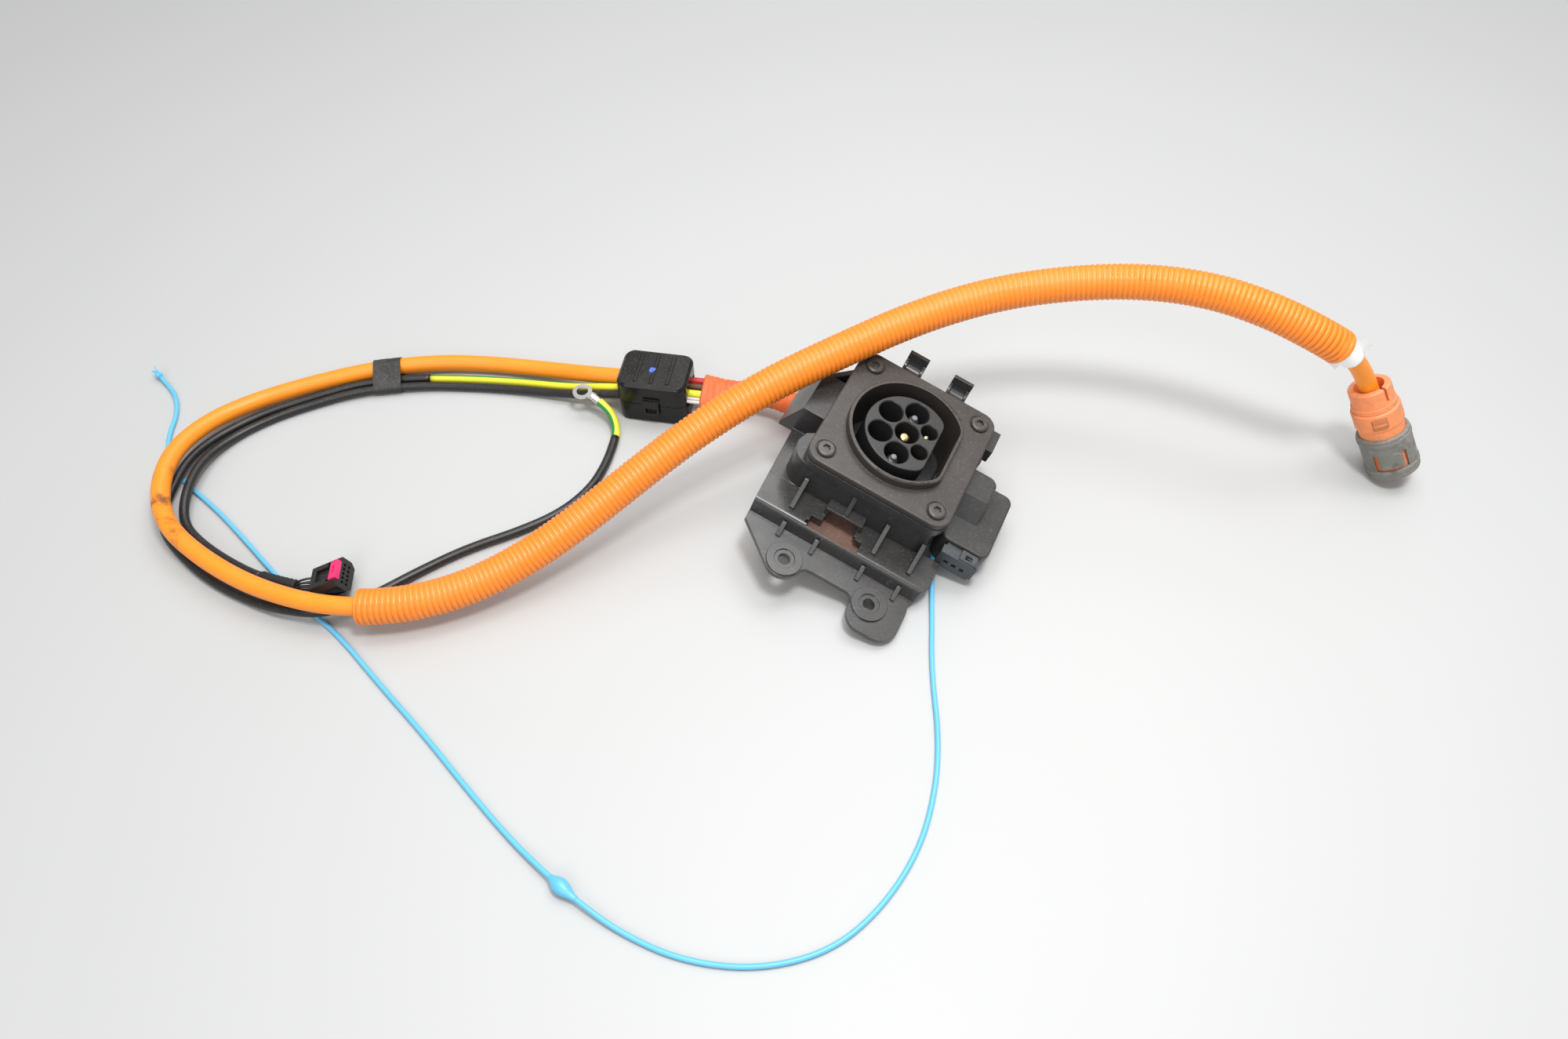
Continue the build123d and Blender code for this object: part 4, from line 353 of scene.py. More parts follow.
# %% [markdown]
# ## Plastic and metal
# The inlet is a glass-filled black moulding with a satin skin, dusty in its corners. The orange
# of high-voltage parts is a safety colour, so all orange parts share nearly the same hue.

# %% Finishes of the CAD nodes
bracket_black = finish("bracket_black", (0.033, 0.032, 0.032), 0.28, 1400, 0.06, 0.10, 0.8)
flange_black = finish("flange_black", (0.040, 0.034, 0.031), 0.40, 1600, 0.10, 0.12, 0.35,
                      vary=0.15)
core_black = finish("core_black", (0.022, 0.022, 0.022), 0.36, 1600, 0.06, 0.04)
# The rear housing is black plastic. Its warm dark brown is painted shade with a painted warm bounce of light, where it
# shows through the bracket's window.
housing_painted_shade = finish("housing_painted_shade", (0.17, 0.092, 0.068), 0.35, 1500, 0.1, 0.3, vary=0.3)
actuator_black = finish("actuator_black", (0.030, 0.030, 0.030), 0.40, 1600, 0.10, 0.12, 0.3)
socket_grey = finish("socket_grey", (0.040, 0.048, 0.055), 0.38, 1600, 0.10, 0.15, 0.3)
rubber_black = finish("rubber_black", (0.014, 0.014, 0.014), 0.7, 1200, 0.2)
dark_screw = finish("dark_screw", (0.075, 0.068, 0.064), 0.40, 900, 0.06, 0.2, 0.5, metallic=0.5)
brass_pin = finish("brass_pin", (0.72, 0.55, 0.27), 0.22, 600, 0.02, metallic=1.0, vary=0.08)
# The L1 and N pins are plated metal. Their dark colour is painted shade, because the pins sit deep in their bores.
pin_painted_shade = finish("pin_painted_shade", (0.10, 0.095, 0.09), 0.4, 600, 0.02, metallic=0.8, vary=0.08)
tinned = finish("tinned", (0.66, 0.65, 0.62), 0.3, 700, 0.05, metallic=1.0, vary=0.1)
pale_tip = finish("pale_tip", (0.20, 0.20, 0.21), 0.5, bump=0.02)
lock_steel = finish("lock_steel", (0.45, 0.45, 0.46), 0.28, 700, 0.05, metallic=1.0, vary=0.08)
plug_orange = finish("plug_orange", (0.90, 0.27, 0.09), 0.5, 1300, 0.15, 1.0, 0.8, vary=0.14)
collar_black = finish("collar_black", (0.17, 0.165, 0.15), 0.5, 1300, 0.2, 1.0, 0.9, vary=0.4)
clip_orange = finish("clip_orange", (0.60, 0.18, 0.05), 0.55, 1300, 0.2, 0.9, 0.6)
box_black = finish("box_black", (0.005, 0.0048, 0.0045), 0.22, 1500, 0.05, 0.08, 0.3, specular=0.3)
ferrite_grey = finish("ferrite_grey", (0.03, 0.03, 0.034), 0.6, 1200, 0.2)
signal_black = finish("signal_black", (0.012, 0.012, 0.0125), 0.3, 1600, 0.08, 0.06, 0.3)
lock_pink = finish("lock_pink", (0.72, 0.03, 0.16), 0.4, 1500, 0.08)
dress(bracket_black, "mounting_bracket", "bracket_rim", "bracket_tub", "clip_hooks")
dress(flange_black, "inlet_flange")
dress(core_black, "contact_carrier", "carrier_base", "hv_insert")
dress(rubber_black, "flange_seal")
dress(actuator_black, "actuator_case", "actuator_cover")
dress(socket_grey, "actuator_plug")
dress(dark_screw, "flange_screws")
dress(brass_pin, "contact_pe", "contact_cp", "contact_pp", "hv_contacts")
dress(pin_painted_shade, "contact_l1", "contact_n")
dress(tinned, "ring_terminal")
dress(pale_tip, "touch_guards")
dress(lock_steel, "lock_pin", "release_lever")
dress(housing_painted_shade, "rear_housing")
dress(plug_orange, "hv_body", "hv_backshell")
dress(collar_black, "hv_collar")
dress(clip_orange, "hv_clips")
dress(box_black, "ferrite_case")
dress(ferrite_grey, "ferrite_core", "ferrite_core_upper")
dress(signal_black, "signal_plug")
dress(lock_pink, "signal_lock")

# %% [markdown]
# ## Wear that only some parts have
# The high-voltage plug is smeared with old grime on every side, so its patches don't depend on
# what faces up. The lid of the box has one dab of blue paint, found by its distance from a point.

# %% Smears on the high-voltage plug
def smeared(material, scale, low, amount, paint):
    """Patches of grime or wear over a finish, on every side."""
    tree = material.node_tree
    shader = tree.nodes["Principled BSDF"]
    base = shader.inputs["Base Color"].links[0].from_socket
    place = add(tree, "ShaderNodeTexCoord").outputs["Object"]
    patch = add(tree, "ShaderNodeTexNoise", Vector=place, Scale=scale, Detail=8.0, Roughness=0.7)
    mask = add(
        tree, "ShaderNodeMapRange", Value=patch.outputs[0], From_Min=low, From_Max=low + 0.14,
        To_Max=amount,
    ).outputs[0]
    tree.links.new(blend_colors(tree, mask, base, paint), shader.inputs["Base Color"])


smeared(plug_orange, 130.0, 0.52, 0.5, (0.34, 0.22, 0.14, 1.0))
smeared(collar_black, 110.0, 0.54, 0.7, (0.32, 0.31, 0.28, 1.0))
smeared(collar_black, 160.0, 0.56, 0.6, (0.05, 0.047, 0.043, 1.0))
smeared(clip_orange, 200.0, 0.50, 0.6, (0.28, 0.20, 0.14, 1.0))

# %% A dab of blue paint on the lid of the box
def dabbed(material, spot, reach, paint):
    """A copy of a finish with a ragged dab of paint round a point."""
    copy = material.copy()
    tree = copy.node_tree
    shader = tree.nodes["Principled BSDF"]
    base = shader.inputs["Base Color"].links[0].from_socket
    place = add(tree, "ShaderNodeTexCoord").outputs["Object"]
    away = tree.nodes.new("ShaderNodeVectorMath")
    away.operation = "DISTANCE"
    tree.links.new(place, away.inputs[0])
    away.inputs[1].default_value = spot
    ragged = add(tree, "ShaderNodeTexNoise", Vector=place, Scale=700.0, Detail=3.0).outputs[0]
    edge = math_node(tree, "ADD", away.outputs["Value"], math_node(tree, "MULTIPLY", ragged, reach))
    mask = math_node(tree, "LESS_THAN", edge, reach * 1.5)
    tree.links.new(blend_colors(tree, mask, base, paint), shader.inputs["Base Color"])
    return copy


lid_black = dabbed(box_black, (-0.1201, 0.0870, 0.0278), 0.0019, (0.08, 0.16, 0.75, 1.0))
dress(lid_black, "ferrite_lid")

# %% [markdown]
# ## Rounded edges on moulded parts
# A moulded edge is never razor sharp, and its small radius is what catches the light. A merged
# copy of each CAD node is bevelled wherever its surface turns sharply. Edges that it shares
# with a node of the same moulding stay as they are, so no seam shows. Weighted normals keep the
# flat faces flat in the light.

# %% Small helpers for pieces
def to_piece(bm, name, material=None):
    """Makes an object of a bmesh and puts it in the scene."""
    mesh = bpy.data.meshes.new(name)
    bm.to_mesh(mesh)
    bm.free()
    piece = bpy.data.objects.new(name, mesh)
    bpy.context.scene.collection.objects.link(piece)
    if material:
        mesh.materials.append(material)
    return piece


def place(piece, slot, *replaced, body="harness"):
    """Rides a new piece on its body, in place of CAD nodes."""
    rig.ride(piece, body)
    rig.slot(piece, slot)
    if replaced:
        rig.replaces(piece, *replaced)
    return piece


# %% Round the sharp edges of CAD nodes
EDGE_TURN = math.radians(38)
slot_of = {row["node"]: row["material_slot"] for row in frame["record"]["subparts"]}


def spot_key(spot):
    """A point as whole micrometres, to find it again in another node."""
    return tuple(round(c * 1e6) for c in spot)


def soften(name, width=0.00025, beside=(), corners=True):
    """A merged copy of a CAD node with rounded edges, in the node's place. Without corners,
    inner corners stay sharp, so that what slides past them keeps its room."""
    node = nodes[name]
    neighbours = [nodes[other] for other in beside if other != name]
    shared = {spot_key(v.co) for other in neighbours for v in other.data.vertices}
    bm = bmesh.new()
    bm.from_mesh(node.data)
    bmesh.ops.remove_doubles(bm, verts=bm.verts, dist=1e-6)
    bmesh.ops.dissolve_limit(bm, angle_limit=math.radians(0.5), verts=bm.verts, edges=bm.edges)
    turned = [e for e in bm.edges if len(e.link_faces) == 2 and e.calc_face_angle() > EDGE_TURN]
    seams = {e for e in turned if all(spot_key(v.co) in shared for v in e.verts)}
    rounded = [e for e in turned if e not in seams and (corners or e.is_convex)]
    bmesh.ops.bevel(bm, geom=rounded, offset=width, segments=2, profile=0.5, affect="EDGES",
                    clamp_overlap=False)
    for edge in bm.edges:
        edge.smooth = len(edge.link_faces) == 2 and edge.calc_face_angle() < EDGE_TURN
    for face in bm.faces:
        face.smooth = True
    piece = to_piece(bm, name + "_moulded", node.data.materials[0])
    flat = piece.modifiers.new("flat faces", "WEIGHTED_NORMAL")
    flat.keep_sharp = True
    flat.weight = 100
    print(name, "edges rounded:", len(rounded), "seams kept:", len(seams))
    return place(piece, slot_of[name], name, body=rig.body_of(node)[0])


BRACKET = ("mounting_bracket", "bracket_rim", "bracket_tub", "clip_hooks")
for name in BRACKET:
    soften(name, 0.0002, beside=BRACKET)
for name in ("inlet_flange", "actuator_case", "actuator_cover", "actuator_plug", "ferrite_case",
             "ferrite_lid", "hv_body", "hv_backshell", "hv_collar", "hv_clips"):
    soften(name)
for name in ("signal_plug", "signal_lock"):
    soften(name, corners=False)

# %% [markdown]
# ## Room at the end of the pink lock's travel
# Pushed home, the lock's back face would lie exactly on the end wall of its slot. Its last
# vertices are drawn forward a little, so that the two faces never share one place.

# %% Room behind the lock
LOCK_WAY = Vector((-0.895374, -0.078335, -0.438371))
LOCK_ROOM = 0.0001
LOCK_EDGE = 0.0003
lock_points = bpy.data.objects["signal_lock_moulded"].data.vertices
lock_back = max(point.co.dot(LOCK_WAY) for point in lock_points)
drawn = [point for point in lock_points if lock_back - point.co.dot(LOCK_WAY) < LOCK_EDGE]
for point in drawn:
    point.co -= LOCK_WAY * LOCK_ROOM
print(len(drawn), "vertices of the lock drawn forward by", LOCK_ROOM, "m")

# %% [markdown]
# ## A smooth line for each cord
# A cord is a fixed length of something flexible, so its line has no corners. Each route below is
# a list of given points. A NURBS curve of order 3 takes them as control points and passes
# half way between each two, which is where a cord changes from one piece to the next.

# %% Routes
cable_route = [
    (-0.1260, 0.0940, 0.0137), (-0.1522, 0.0982, 0.0126), (-0.1802, 0.1081, 0.0065),
    (-0.2142, 0.1146, 0.0049), (-0.2492, 0.1154, 0.0058), (-0.2852, 0.1096, 0.0058),
    (-0.3212, 0.0976, 0.0049), (-0.3492, 0.0831, 0.0055), (-0.3687, 0.0641, 0.0095),
    (-0.3772, 0.0396, 0.0135), (-0.3752, 0.0141, 0.0135), (-0.3607, -0.0094, 0.0135),
    (-0.3352, -0.0299, 0.0135), (-0.3052, -0.0469, 0.0140), (-0.2712, -0.0579, 0.0145),
    (-0.2372, -0.0594, 0.0145), (-0.2072, -0.0519, 0.0150), (-0.1802, -0.0389, 0.0185),
    (-0.1522, -0.0224, 0.0280), (-0.1222, -0.0009, 0.0400), (-0.0922, 0.0186, 0.0530),
    (-0.0572, 0.0366, 0.0660), (-0.0192, 0.0551, 0.0728), (0.0188, 0.0716, 0.0798),
    (0.0578, 0.0826, 0.0855), (0.0958, 0.0851, 0.0905), (0.1308, 0.0801, 0.0960),
    (0.1628, 0.0711, 0.0975), (0.1908, 0.0596, 0.0940), (0.2158, 0.0486, 0.0865),
    (0.2313, 0.0481, 0.0765), (0.2448, 0.0516, 0.0610), (0.2543, 0.0511, 0.0470),
    (0.2606, 0.0470, 0.0370),
]
ground_route = [
    (-0.1272, 0.0867, 0.0137), (-0.1456, 0.0894, 0.0125), (-0.1692, 0.0962, 0.0050),
    (-0.2032, 0.1031, 0.0026), (-0.2400, 0.1054, 0.0026), (-0.2632, 0.1044, 0.0035),
    (-0.2892, 0.1009, 0.0035), (-0.3172, 0.0896, 0.0026), (-0.3422, 0.0769, 0.0026),
    (-0.3612, 0.0591, 0.0034), (-0.3690, 0.0406, 0.0064), (-0.3706, 0.0216, 0.0064),
    (-0.3728, 0.0086, 0.0028), (-0.3682, -0.0049, 0.0026), (-0.3542, -0.0199, 0.0026),
    (-0.3342, -0.0359, 0.0026), (-0.3082, -0.0489, 0.0026), (-0.2882, -0.0559, 0.0064),
    (-0.2732, -0.0574, 0.0064), (-0.2607, -0.0534, 0.0064), (-0.2482, -0.0449, 0.0046),
    (-0.2322, -0.0309, 0.0026), (-0.2092, -0.0159, 0.0026), (-0.1842, -0.0049, 0.0026),
    (-0.1642, 0.0071, 0.0026), (-0.1507, 0.0231, 0.0026), (-0.1442, 0.0401, 0.0026),
    (-0.1414, 0.0555, 0.0026), (-0.1404, 0.0635, 0.0034), (-0.1422, 0.0706, 0.0060),
    (-0.1458, 0.0755, 0.0092), (-0.1506, 0.0782, 0.0120),
]
signal_route = [
    (-0.1280, 0.0816, 0.0137), (-0.1464, 0.0842, 0.0120), (-0.1692, 0.0902, 0.0050),
    (-0.2032, 0.0968, 0.0026), (-0.2392, 0.0993, 0.0026), (-0.2612, 0.0984, 0.0035),
    (-0.2892, 0.0948, 0.0035), (-0.3172, 0.0837, 0.0026), (-0.3397, 0.0708, 0.0026),
    (-0.3557, 0.0543, 0.0036), (-0.3620, 0.0363, 0.0068), (-0.3622, 0.0156, 0.0068),
    (-0.3592, 0.0001, 0.0030), (-0.3482, -0.0109, 0.0026), (-0.3322, -0.0219, 0.0026),
    (-0.3142, -0.0322, 0.0040), (-0.3012, -0.0380, 0.0066), (-0.2878, -0.0416, 0.0066),
]
release_route = [
    (0.0280, -0.0136, 0.0056), (0.0274, -0.0220, 0.0043), (0.0264, -0.0330, 0.0029),
    (0.0252, -0.0460, 0.0018), (0.0242, -0.0605, 0.0013), (0.0226, -0.0770, 0.0013),
    (0.0220, -0.0944, 0.0013), (0.0224, -0.1184, 0.0013), (0.0194, -0.1434, 0.0013),
    (0.0103, -0.1714, 0.0013), (-0.0072, -0.1964, 0.0013), (-0.0292, -0.2139, 0.0013),
    (-0.0582, -0.2207, 0.0013), (-0.0882, -0.2174, 0.0013), (-0.1132, -0.2069, 0.0015),
    (-0.1322, -0.1947, 0.0038), (-0.1457, -0.1839, 0.0038), (-0.1642, -0.1679, 0.0016),
    (-0.1872, -0.1444, 0.0013), (-0.2112, -0.1186, 0.0013), (-0.2377, -0.0924, 0.0013),
    (-0.2612, -0.0678, 0.0013), (-0.2822, -0.0509, 0.0013), (-0.3022, -0.0324, 0.0013),
    (-0.3242, -0.0104, 0.0013), (-0.3462, 0.0106, 0.0013), (-0.3712, 0.0306, 0.0013),
    (-0.3842, 0.0466, 0.0013), (-0.3892, 0.0626, 0.0013), (-0.3897, 0.0776, 0.0013),
    (-0.3952, 0.0926, 0.0013), (-0.4052, 0.1036, 0.0013), (-0.4132, 0.1106, 0.0013),
]
sleeve_route = [
    (-0.0740, 0.0832, 0.0137), (-0.0600, 0.0827, 0.0137), (-0.0431, 0.0759, 0.0137),
    (-0.0297, 0.0638, 0.0137),
]

# %% Follow the photograph
# The left bend of the cable and the loose end of the blue cord are moved a few millimetres, as
# the hose's mouth is further on.
for run in (8, 9, 10):
    x, y, z = cable_route[run]
    cable_route[run] = (x + 0.0028, y, z)
release_route[-1] = (-0.4088, 0.1068, 0.0026)

# %% Read a route's smooth line
def smooth_line(route):
    """The points of a route's NURBS curve, dense and in order."""
    curve = bpy.data.curves.new("line", "CURVE")
    curve.dimensions = "3D"
    spline = curve.splines.new("NURBS")
    spline.points.add(len(route) - 1)
    for point, spot in zip(spline.points, route):
        point.co = (*spot, 1.0)
    spline.order_u = 3
    spline.use_endpoint_u = True
    spline.resolution_u = 24
    holder = bpy.data.objects.new("line", curve)
    mesh = bpy.data.meshes.new_from_object(holder)
    line = [vertex.co.copy() for vertex in mesh.vertices]
    bpy.data.objects.remove(holder)
    bpy.data.meshes.remove(mesh)
    return line


def between_runs(line, route, first=None, last=None):
    """The part of a line between the middles of two of its route's runs."""
    def nearest(run):
        middle = (Vector(route[run]) + Vector(route[run + 1])) / 2
        return min(range(len(line)), key=lambda i: (line[i] - middle).length_squared)

    start = 0 if first is None else nearest(first)
    end = len(line) - 1 if last is None else nearest(last)
    return line[start:end + 1]


def length_of(line):
    """Length along a line."""
    return sum((b - a).length for a, b in zip(line, line[1:]))


def even(line, step):
    """A line with its points an equal distance apart."""
    total = length_of(line)
    count = max(2, round(total / step))
    spots, travelled, index = [line[0]], 0.0, 0
    for k in range(1, count):
        wanted = total * k / count
        while travelled + (line[index + 1] - line[index]).length < wanted:
            travelled += (line[index + 1] - line[index]).length
            index += 1
        a, b = line[index], line[index + 1]
        spots.append(a.lerp(b, (wanted - travelled) / (b - a).length))
    return spots + [line[-1]]


cable_line = smooth_line(cable_route)
ground_line = smooth_line(ground_route)
signal_line = smooth_line(signal_route)
release_line = smooth_line(release_route)
for label, line in (("cable", cable_line), ("ground", ground_line), ("signal", signal_line),
                    ("release", release_line)):
    print(label, "line:", round(length_of(line), 4), "m")

# %% [markdown]
# ## A tube along a line
# A hose, a wire and a sleeve are all one ring that is extruded from station to station. The ring
# starts as a bmesh circle. Each step extrudes its edges, then turns and shifts the new ring, so
# that it stays square to the line. The radius may change from step to step, which gives the
# corrugation. The tube gets its own UV map: around in U, and metres along it in V.

# %% The tube builder
def sweep(name, line, radius, segments=20, material=None, bore=0.0):
    """A tube along a line. radius is a number, or a function of the distance along it that
    gives a number or two half widths. bore is the wall of a hollow tube."""
    def size(s):
        value = radius(s) if callable(radius) else radius
        pair = value if isinstance(value, tuple) else (value, value)
        return Vector((*pair, 1.0))

    bm = bmesh.new()
    around = bm.verts.layers.int.new("around")
    along = bm.verts.layers.float.new("along")
    ring = bmesh.ops.create_circle(bm, segments=segments, radius=1.0)["verts"]
    for k, vert in enumerate(ring):
        vert[around] = k
    tangents = [(b - a).normalized() for a, b in zip(line, line[1:])]
    headings = [tangents[0]]
    headings += [(a + b).normalized() for a, b in zip(tangents, tangents[1:])]
    headings.append(tangents[-1])
    turn = Vector((0, 0, 1)).rotation_difference(headings[0])
    where = Matrix.LocRotScale(line[0], turn, size(0.0))
    bmesh.ops.transform(bm, matrix=where, verts=ring)
    edges = list(bm.edges)
    start_edges = list(edges)
    travelled = 0.0
    for k in range(1, len(line)):
        travelled += (line[k] - line[k - 1]).length
        turn = headings[k - 1].rotation_difference(headings[k]) @ turn
        new_where = Matrix.LocRotScale(line[k], turn, size(travelled))
        made = bmesh.ops.extrude_edge_only(bm, edges=edges)["geom"]
        ring = [g for g in made if isinstance(g, bmesh.types.BMVert)]
        edges = [g for g in made if isinstance(g, bmesh.types.BMEdge)]
        bmesh.ops.transform(bm, matrix=new_where @ where.inverted(), verts=ring)
        for vert in ring:
            vert[along] = travelled
        where = new_where
    uv = bm.loops.layers.uv.new("UVMap")
    for face in bm.faces:
        seam = max(v[around] for v in face.verts) - min(v[around] for v in face.verts) > 1
        for loop in face.loops:
            k = loop.vert[around]
            k = segments if seam and k == 0 else k
            loop[uv].uv = (k / segments, loop.vert[along])
        face.smooth = True
    if bore:
        wall = bmesh.ops.solidify(bm, geom=list(bm.faces), thickness=-bore)
    else:
        for rim in (start_edges, edges):
            bmesh.ops.edgeloop_fill(bm, edges=rim)
    bmesh.ops.recalc_face_normals(bm, faces=list(bm.faces))
    return to_piece(bm, name, material)


def join(pieces, name):
    """Makes one piece of several."""
    bm = bmesh.new()
    for piece in pieces:
        bm.from_mesh(piece.data)
    material = pieces[0].data.materials[0]
    for piece in pieces:
        bpy.data.objects.remove(piece)
    return to_piece(bm, name, material)

# %% [markdown]
# ## The orange cable and its corrugated hose
# The cable has a smooth extruded jacket with a soft sheen. The hose over it is convoluted
# tubing: about two hundred narrow rings, each a flat-topped rib with a groove beside it. The ribs
# are geometry, because they make the outline; the jacket's fine texture is a bump.

# %% A rubbed patch
def rubbed_patch(material, middle, half, paint):
    """Dirt worn into a cord round a place along it: the UV map's V is metres from its start."""
    tree = material.node_tree
    shader = tree.nodes["Principled BSDF"]
    base = shader.inputs["Base Color"].links[0].from_socket
    place = add(tree, "ShaderNodeTexCoord")
    along = add(tree, "ShaderNodeSeparateXYZ", Vector=place.outputs["UV"]).outputs["Y"]
    away = math_node(tree, "ABSOLUTE", math_node(tree, "SUBTRACT", along, middle))
    near = add(
        tree, "ShaderNodeMapRange", Value=away, From_Min=half, From_Max=half * 0.3
    ).outputs[0]
    patch = add(
        tree, "ShaderNodeTexNoise", Vector=place.outputs["Object"], Scale=85.0, Detail=6.0,
        Roughness=0.65,
    )
    patch = add(
        tree, "ShaderNodeMapRange", Value=patch.outputs[0], From_Min=0.52, From_Max=0.68
    ).outputs[0]
    mask = math_node(tree, "MULTIPLY", near, patch)
    tree.links.new(blend_colors(tree, mask, base, paint), shader.inputs["Base Color"])


# %% Cable
CABLE_RADIUS = 0.00465
TUBING_RADIUS = 0.0024
cable_orange = finish("cable_orange", (0.98, 0.29, 0.012), 0.40, 700, 0.08, 0.1, 0.25, vary=0.08)
rubbed_patch(cable_orange, 0.325, 0.045, (0.16, 0.055, 0.015, 1.0))
cable = sweep("hv_cable_jacket", even(cable_line, 0.004), CABLE_RADIUS, 24, cable_orange)
place(cable, "orange_jacket", "hv_cable")

# %% Hose
RIB_PITCH = 0.0026
RIB_STATIONS = 6
HOSE_RADIUS = 0.00825
GROOVE = 0.0013
HOSE_FIRST, HOSE_LAST = 14, 29
MOUTH_TRIM = 0.0040
hose_run = between_runs(cable_line, cable_route, HOSE_FIRST, HOSE_LAST)
hose_run = [spot for spot in hose_run if (spot - hose_run[0]).length > MOUTH_TRIM]
hose_line = even(hose_run, RIB_PITCH / RIB_STATIONS)


def rib(s):
    """Radius of the hose at a distance along it: flat-topped ribs with narrow grooves."""
    wave = math.cos(2 * math.pi * s / RIB_PITCH)
    return HOSE_RADIUS - GROOVE * (1 - min(1.0, wave * 2.6 + 1.6)) / 2


def grooved(material, pitch, paint):
    """Thin plastic glows where light comes through, so the grooves get a lighter orange."""
    tree = material.node_tree
    shader = tree.nodes["Principled BSDF"]
    base = shader.inputs["Base Color"].links[0].from_socket
    uv = add(tree, "ShaderNodeTexCoord").outputs["UV"]
    along = add(tree, "ShaderNodeSeparateXYZ", Vector=uv).outputs["Y"]
    turn = math_node(tree, "FRACT", math_node(tree, "DIVIDE", along, pitch))
    off = math_node(tree, "ABSOLUTE", math_node(tree, "SUBTRACT", turn, 0.5))
    deep = add(tree, "ShaderNodeMapRange", Value=off, From_Min=0.22, From_Max=0.08).outputs[0]
    tree.links.new(blend_colors(tree, deep, base, paint), shader.inputs["Base Color"])


hose_orange = finish("hose_orange", (1.0, 0.25, 0.018), 0.36, 900, 0.1, 0.1, 0.2, vary=0.08)
grooved(hose_orange, RIB_PITCH, (1.0, 0.26, 0.02, 1.0))
hose = sweep("conduit_hose", hose_line, rib, 28, hose_orange, bore=0.0006)
place(hose, "orange_conduit", "conduit")
print("hose rings:", round(length_of(hose_line) / RIB_PITCH))

# %% [markdown]
# ## The ground lead
# The ground wire is green and yellow by rule. Its stripe runs along the wire, so the material
# reads the tube's UV map: U goes around, and the stripe takes a share of the turn, with a slow
# twist. The middle of the lead is in a black sleeve, slightly thicker than the wire.

# %% Ground lead
def striped(name, main, stripe, share, twist, phase=0.0):
    """Insulation with one stripe along the wire. share, twist and phase are in turns."""
    material = finish(name, main, 0.4, 900, 0.08, 0.08)
    tree = material.node_tree
    shader = tree.nodes["Principled BSDF"]
    base = shader.inputs["Base Color"].links[0].from_socket
    uv = add(tree, "ShaderNodeTexCoord").outputs["UV"]
    split = add(tree, "ShaderNodeSeparateXYZ", Vector=uv)
    turned = math_node(tree, "ADD", math_node(tree, "MULTIPLY", split.outputs["Y"], twist), phase)
    turned = math_node(tree, "FRACT", math_node(tree, "ADD", turned, split.outputs["X"]))
    inside = math_node(tree, "LESS_THAN", turned, share)
    paint = blend_colors(tree, inside, base, (*stripe, 1.0))
    tree.links.new(paint, shader.inputs["Base Color"])
    return material


YELLOW = (0.80, 0.76, 0.04)
GREEN = (0.02, 0.26, 0.05)
ground_yellow = striped("ground_yellow", YELLOW, GREEN, 0.4, 0.4, 0.24)
end_yellow = striped("end_yellow", YELLOW, GREEN, 0.4, 0.4, -0.06)
lead_yellow = striped("lead_yellow", YELLOW, GREEN, 0.4, 0.4, 0.35)
sleeve_black = finish("sleeve_black", (0.011, 0.011, 0.012), 0.38, 1100, 0.25, 0.1, 0.3)
SLEEVE_FIRST, SLEEVE_LAST = 4, 27
wire_part = even(between_runs(ground_line, ground_route, None, SLEEVE_FIRST), 0.003)
sleeve_part = even(between_runs(ground_line, ground_route, SLEEVE_FIRST, SLEEVE_LAST), 0.003)
shrink_part = even(between_runs(ground_line, ground_route, SLEEVE_LAST), 0.0015)
ground_wire = sweep("ground_insulation", wire_part, 0.0022, 16, ground_yellow)
place(ground_wire, "ground_insulation", "ground_wire")
ground_sleeve = sweep("ground_tubing", sleeve_part, TUBING_RADIUS, 16, sleeve_black)
place(ground_sleeve, "black_sleeve", "ground_sleeve")
ground_end = sweep("ground_wire_end", shrink_part, 0.0023, 16, end_yellow)
place(ground_end, "ground_insulation", "ground_shrink")

# %% [markdown]
# ## The signal strand
# The strand is several thin wires in one black tube, with a short boot before the plug. Its
# wires fan out to the plug's chambers.

# %% Signal strand
BOOT_RUN = 15
signal_part = even(between_runs(signal_line, signal_route, None, BOOT_RUN), 0.003)
signal = sweep("signal_tubing", signal_part, TUBING_RADIUS, 16, sleeve_black)
place(signal, "black_sleeve", "signal_cable")
boot_line = even(between_runs(signal_line, signal_route, BOOT_RUN), 0.0012)
boot = sweep("signal_boot_wrap", boot_line, lambda s: 0.003 - 0.0002 * math.cos(s * 2400), 18,
             rubber_black)
place(boot, "black_sleeve", "signal_boot")

# %% [markdown]
# ## The release cord
# A thin blue plastic-coated cord. Its coat is smooth and glossy.

# %% Release cord
cord_blue = finish("cord_blue", (0.13, 0.50, 0.80), 0.35, 900, 0.05, 0.0, vary=0.08)
release = sweep("release_cord_coat", even(release_line, 0.003), 0.0012, 12, cord_blue)
place(release, "blue_cord", "release_cord")

# %% Bulb on the cord
bulb_middle = Vector((-0.1390, -0.1893, 0.0038))
bulb_line = even([p for p in release_line if (p - bulb_middle).length < 0.0078], 0.0006)
bulb_length = length_of(bulb_line)


def swelling(s):
    """Radius of the bulb: a slow taper on one side and a rounder end on the other."""
    return 0.0013 + 0.0021 * max(0.0, math.sin(math.pi * (s / bulb_length) ** 1.3)) ** 1.3


bulb = sweep("bulb_on_cord", bulb_line, swelling, 24, cord_blue)
place(bulb, "blue_cord", "cord_bulb")

# %% [markdown]
# ## The knot at the cord's end
# The real cord ends in a small knot with a few frayed threads. A trefoil is the same curve as an
# overhand knot with its ends joined, so its turns serve as control points. The threads are thin
# tubes that spread out from it.

# %% Knot and frayed end
knot_middle = Vector(release_route[-1]) + Vector((-0.0010, 0.0009, 0.0006))
heading = (Vector(release_route[-1]) - Vector(release_route[-2])).normalized()


